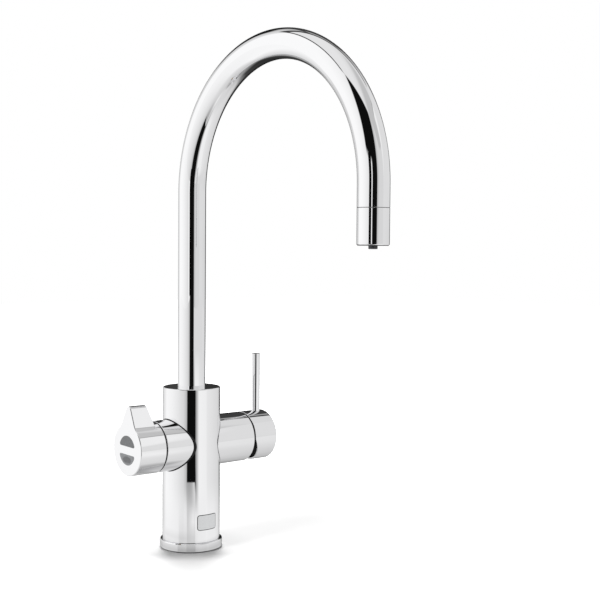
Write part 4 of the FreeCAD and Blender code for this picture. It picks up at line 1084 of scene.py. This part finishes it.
class TAP_OT_stage(bpy.types.Operator):
    """Builds the white table, the studio light and the camera"""
    bl_idname = "tap.stage"
    bl_label = "Studio and camera"

    def execute(self, context):
        studio = context.scene.tap_studio
        self.add_world(context, studio)
        self.add_floor(context, studio)
        self.add_flag(context, studio)
        self.add_lamps(context)
        self.add_camera(context, studio)
        context.scene.view_settings.view_transform = "Standard"
        return {"FINISHED"}

    def add_world(self, context, studio):
        """White to the camera, an even soft light on everything, and to the chrome the panels of a studio."""
        world = bpy.data.worlds.new("white_studio")
        context.scene.world = world
        tree = bare_tree(world)
        path = add_node(tree, "ShaderNodeLightPath").outputs
        way = add_node(tree, "ShaderNodeTexCoord").outputs["Generated"]
        right, near, bearing = camera_parts(tree, way, studio.azimuth)
        height = add_node(tree, "ShaderNodeSeparateXYZ", {0: way}).outputs["Z"]
        lift = add_node(tree, "ShaderNodeMath", {0: height, 1: LEAST_LIFT}, operation="MAXIMUM").outputs[0]
        across, along = (add_node(tree, "ShaderNodeMath", {0: part, 1: lift}, operation="DIVIDE").outputs[0]
                         for part in (right, near))
        slope = add_node(tree, "ShaderNodeMath", {0: across, 1: BOX_SLANT, 2: along},
                         operation="MULTIPLY_ADD").outputs[0]
        right_wall = (bearing, math.radians(64), math.radians(137), 0.06)
        low_edge = (height, 0.03, OPEN, 0.03)
        high_up = (height, 0.4, OPEN, 0.02)
        front_edge = (slope, -OPEN, 0.745, 0.03)
        soft_box = (along, -0.57, OPEN, 0.015), front_edge
        panels = lay_patches(tree, studio_level(tree, bearing, WALLS), (
            # The dark gap, and the unlit room over the camera
            (14, (bearing, *GAP, 0.02)),
            (14, (bearing, math.radians(-50.5), math.radians(14.5), 0.03), (height, 0.25, OPEN, 0.03)),
            # Behind the tap: the wall high up, and the unlit room under it
            (165, (bearing, math.radians(138), OPEN, 0.05), (height, 0.4, OPEN, 0.03)),
            (60, (bearing, math.radians(153), OPEN, 0.03), (height, -OPEN, 0.73, 0.012)),
            (28, (bearing, math.radians(142), OPEN, 0.03), (height, -OPEN, 0.12, 0.03)),
            (28, (bearing, -OPEN, math.radians(-149), 0.03), (height, 0.35, 0.67, 0.03)),
            (14, (near, -OPEN, -0.93, 0.01), (height, 0.19, 0.285, 0.015)),
            # The soft box overhead with its dark rim, darker to the right, and the lit wall on the right
            (60, (across, -0.665, 1.1, 0.015), (along, -0.72, OPEN, 0.015), front_edge),
            (230, (across, -0.555, 1.1, 0.015), *soft_box),
            (217, (across, 0.2, OPEN, 0.2), *soft_box, high_up),
            (192, (across, 0.35, OPEN, 0.1), *soft_box, high_up, (slope, -0.58, OPEN, 0.04)),
            (222, right_wall, (across, 1.0, OPEN, 0.015), low_edge),
            (150, right_wall, (across, 0.95, 1.05, 0.015), (slope, -0.53, OPEN, 0.04)),
            (239, right_wall, (across, 1.0, OPEN, 0.015), low_edge, (slope, -0.5, OPEN, 0.06)),
        ))
        soft = add_node(tree, "ShaderNodeBackground", {"Color": (1, 1, 1, 1), "Strength": studio.soft_light})
        seen = add_node(tree, "ShaderNodeBackground", {"Color": (1, 1, 1, 1), "Strength": 1.0})
        cloth = add_node(tree, "ShaderNodeBackground", {"Color": panels, "Strength": studio.cloth})
        clear = add_node(tree, "ShaderNodeMath", {0: path["Is Camera Ray"], 1: path["Is Transmission Ray"]},
                         operation="MAXIMUM")
        glossy = add_node(tree, "ShaderNodeMixShader", {
            0: path["Is Glossy Ray"], 1: soft.outputs[0], 2: cloth.outputs[0]})
        both = add_node(tree, "ShaderNodeMixShader", {
            0: clear.outputs[0], 1: glossy.outputs[0], 2: seen.outputs[0]})
        add_node(tree, "ShaderNodeOutputWorld", {"Surface": both.outputs[0]})

    def add_floor(self, context, studio):
        # White laminate: matt to the camera, and to the chrome a glow with the table's light and shade
        # painted in:
        # a bright table that ends short of the dark gap
        material = bpy.data.materials.new("white_laminate_table")
        far = FLOOR_HALF
        corners = ((-far, -far, 0), (far, -far, 0), (far, far, 0), (-far, far, 0))
        stage_sheet(context, "table", corners, material)
        tree = bare_tree(material)
        path = add_node(tree, "ShaderNodeLightPath").outputs
        spot = add_node(tree, "ShaderNodeTexCoord").outputs["Object"]
        _, near, bearing = camera_parts(tree, spot, studio.azimuth)
        away = add_node(tree, "ShaderNodeVectorMath", {0: spot}, operation="LENGTH").outputs["Value"]
        outward = add_node(tree, "ShaderNodeMapRange", {
            "Value": away, "From Min": TABLE_FADE, "From Max": studio.table}, interpolation_type="SMOOTHSTEP")
        front = (bearing, GAP[0] - 0.03, 0.02, 0.2), (away, 0.27, OPEN, 0.07)
        table = lay_patches(tree, studio_level(tree, bearing, TABLE), (
            # Painted shadow of the tap close to the foot, and a ring of painted shade to the left of it
            (165, (away, -OPEN, 0.052, 0.014)),
            (195, (bearing, -2.0, -0.15, 0.2), (away, 0.062, 0.09, 0.014)),
            # A painted light patch towards the camera, and painted shade at the grey end of the table
            (236, (bearing, -0.05, GAP[1], 0.15), (away, 0.11, 0.2, 0.03)),
            (150, *front),
        ))
        # The same painted shade at the grey end, on the floor beyond the table
        beyond = lay_patches(tree, studio_level(tree, bearing, FAR_FLOOR), ((150, *front),), 0.9)
        beyond = lay_patches(tree, beyond, (
            # A dark mark at the gap's right edge, the floor far off on the right, the unlit floor behind
            (60, (bearing, GAP[1] - 0.06, GAP[1] + 0.01, 0.02), (away, 0.3, 0.4, 0.03)),
            (219, (bearing, GAP[1], math.radians(100), 0.05), (away, 1.6, OPEN, 0.4)),
            (40, (bearing, math.radians(141), OPEN, 0.04), (away, 0.8, OPEN, 0.1)),
            # The dark gap
            (14, (bearing, *GAP, 0.02), (away, studio.table, OPEN, 0.003)),
        ))
        table_glow_painted_light = add_node(tree, "ShaderNodeEmission", {"Color": table, "Strength": studio.cloth})
        sheen = add_node(tree, "ShaderNodeFresnel", {"IOR": 1.5})
        gloss = add_node(tree, "ShaderNodeBsdfGlossy", {"Color": sheen.outputs[0], "Roughness": 0.05})
        table_top = add_node(tree, "ShaderNodeAddShader", {0: table_glow_painted_light.outputs[0], 1: gloss.outputs[0]})
        floor_far = add_node(tree, "ShaderNodeEmission", {"Color": beyond, "Strength": studio.cloth})
        mirror = add_node(tree, "ShaderNodeMixShader", {
            0: outward.outputs[0], 1: table_top.outputs[0], 2: floor_far.outputs[0]})
        matt = add_node(tree, "ShaderNodeBsdfDiffuse", {"Color": tuple(context.scene.tap_colours.floor)})
        # The floor lights up away from the foot, soonest towards the camera, so that only the foot's shadow
        # shows
        glow = 0.0
        ramps = ((away, 0.03, 0.07, 0.1), (near, 0.026, 0.056, 0.35), (near, 0.1, 0.2, 0.2),
                 (away, 0.2, 0.5, 0.8))
        for value, start, end, most in ramps:
            ramp = add_node(tree, "ShaderNodeMapRange", {
                "Value": value, "From Min": start, "From Max": end, "To Max": most},
                interpolation_type="SMOOTHSTEP")
            glow = add_node(tree, "ShaderNodeMath", {0: ramp.outputs[0], 1: glow}).outputs[0]
        lift = add_node(tree, "ShaderNodeEmission", {"Strength": glow})
        white = add_node(tree, "ShaderNodeAddShader", {0: matt.outputs[0], 1: lift.outputs[0]})
        camera = add_node(tree, "ShaderNodeMixShader", {
            0: path["Is Camera Ray"], 1: matt.outputs[0], 2: white.outputs[0]})
        both = add_node(tree, "ShaderNodeMixShader", {
            0: path["Is Glossy Ray"], 1: camera.outputs[0], 2: mirror.outputs[0]})
        add_node(tree, "ShaderNodeOutputMaterial", {"Surface": both.outputs[0]})

    def add_flag(self, context, studio):
        # Black felt on a flag beside the camera, which only the chrome shows
        material = bpy.data.materials.new("front_flag")
        tree = bare_tree(material)
        felt = add_node(tree, "ShaderNodeEmission", {"Color": grey_level(FLAG_LEVEL), "Strength": 1.0})
        add_node(tree, "ShaderNodeOutputMaterial", {"Surface": felt.outputs[0]})
        right, towards = camera_axes(studio.azimuth)
        middle = FLAG_NEAR * towards + FLAG_RIGHT * right
        corners = [middle + side * FLAG_HALF * right + height * UP for side, height in (
            (-1, FLAG_LOW), (1, FLAG_LOW), (1, FLAG_HIGH), (-1, FLAG_HIGH))]
        flag = stage_sheet(context, "front_flag", corners, material)
        flag.visible_camera = False
        flag.visible_diffuse = False
        flag.visible_shadow = False

    def add_lamps(self, context):
        # Only the foot and the column throw a shadow from these lamps, as in the photograph
        blockers = bpy.data.collections.new("shadow_casters")
        for name in ("foot_ring", "gasket_ring", "column_sleeve"):
            blockers.objects.link(bpy.data.objects[name])
        for name, spot, wide, deep, power in LAMPS:
            light = bpy.data.lights.new(name, "AREA")
            light.shape = "ELLIPSE"
            light.size = wide
            light.size_y = deep
            light.energy = power
            lamp = bpy.data.objects.new(name, light)
            context.scene.collection.objects.link(lamp)
            back = unit(np.array(spot) - np.array(LAMP_AIM))
            side = unit(np.cross(UP, back))
            set_down(lamp, spot, side, np.cross(back, side), back)
            lamp.visible_glossy = False
            lamp.light_linking.blocker_collection = blockers

    def add_camera(self, context, studio):
        right, towards = camera_axes(studio.azimuth)
        spot = towards * studio.distance + UP * studio.height
        ahead, right = swung(-towards, right, studio.yaw)
        ahead, up = swung(ahead, UP, studio.pitch)
        right, up = swung(right, up, studio.roll)
        data = bpy.data.cameras.new("photo_camera")
        data.lens = studio.lens
        data.sensor_width = SENSOR_WIDTH
        data.clip_start = NEAREST_SEEN
        camera = bpy.data.objects.new("photo_camera", data)
        context.scene.collection.objects.link(camera)
        set_down(camera, spot, right, up, -ahead)
        context.scene.camera = camera


class TAP_PT_looks(bpy.types.Panel):
    """Lists the tap's operators and sizes"""
    bl_idname = "TAP_PT_looks"
    bl_label = "Tap"
    bl_space_type = "VIEW_3D"
    bl_region_type = "UI"
    bl_category = "Tap"

    def draw(self, context):
        for operator in OPERATORS:
            self.layout.operator(operator.bl_idname)
        for group in (context.scene.tap_sizes, context.scene.tap_colours, context.scene.tap_studio):
            for name in group.bl_rna.properties.keys():
                if name not in ("name", "rna_type"):
                    self.layout.prop(group, name)


OPERATORS = (TAP_OT_foot, TAP_OT_column, TAP_OT_branches, TAP_OT_knob, TAP_OT_lever, TAP_OT_spout,
             TAP_OT_inner, TAP_OT_stage)
CLASSES = (TapSizes, TapColours, TapStudio) + OPERATORS + (TAP_PT_looks,)


def register():
    for cls in CLASSES:
        bpy.utils.register_class(cls)
    bpy.types.Scene.tap_sizes = bpy.props.PointerProperty(type=TapSizes)
    bpy.types.Scene.tap_colours = bpy.props.PointerProperty(type=TapColours)
    bpy.types.Scene.tap_studio = bpy.props.PointerProperty(type=TapStudio)


def unregister():
    del bpy.types.Scene.tap_studio
    del bpy.types.Scene.tap_colours
    del bpy.types.Scene.tap_sizes
    for cls in reversed(CLASSES):
        bpy.utils.unregister_class(cls)


def main():
    register()
    bpy.ops.tap.foot()
    bpy.ops.tap.column()
    bpy.ops.tap.branches()
    bpy.ops.tap.knob()
    bpy.ops.tap.lever()
    bpy.ops.tap.spout()
    bpy.ops.tap.inner()
    bpy.ops.tap.stage()


if __name__ == "__main__":
    main()
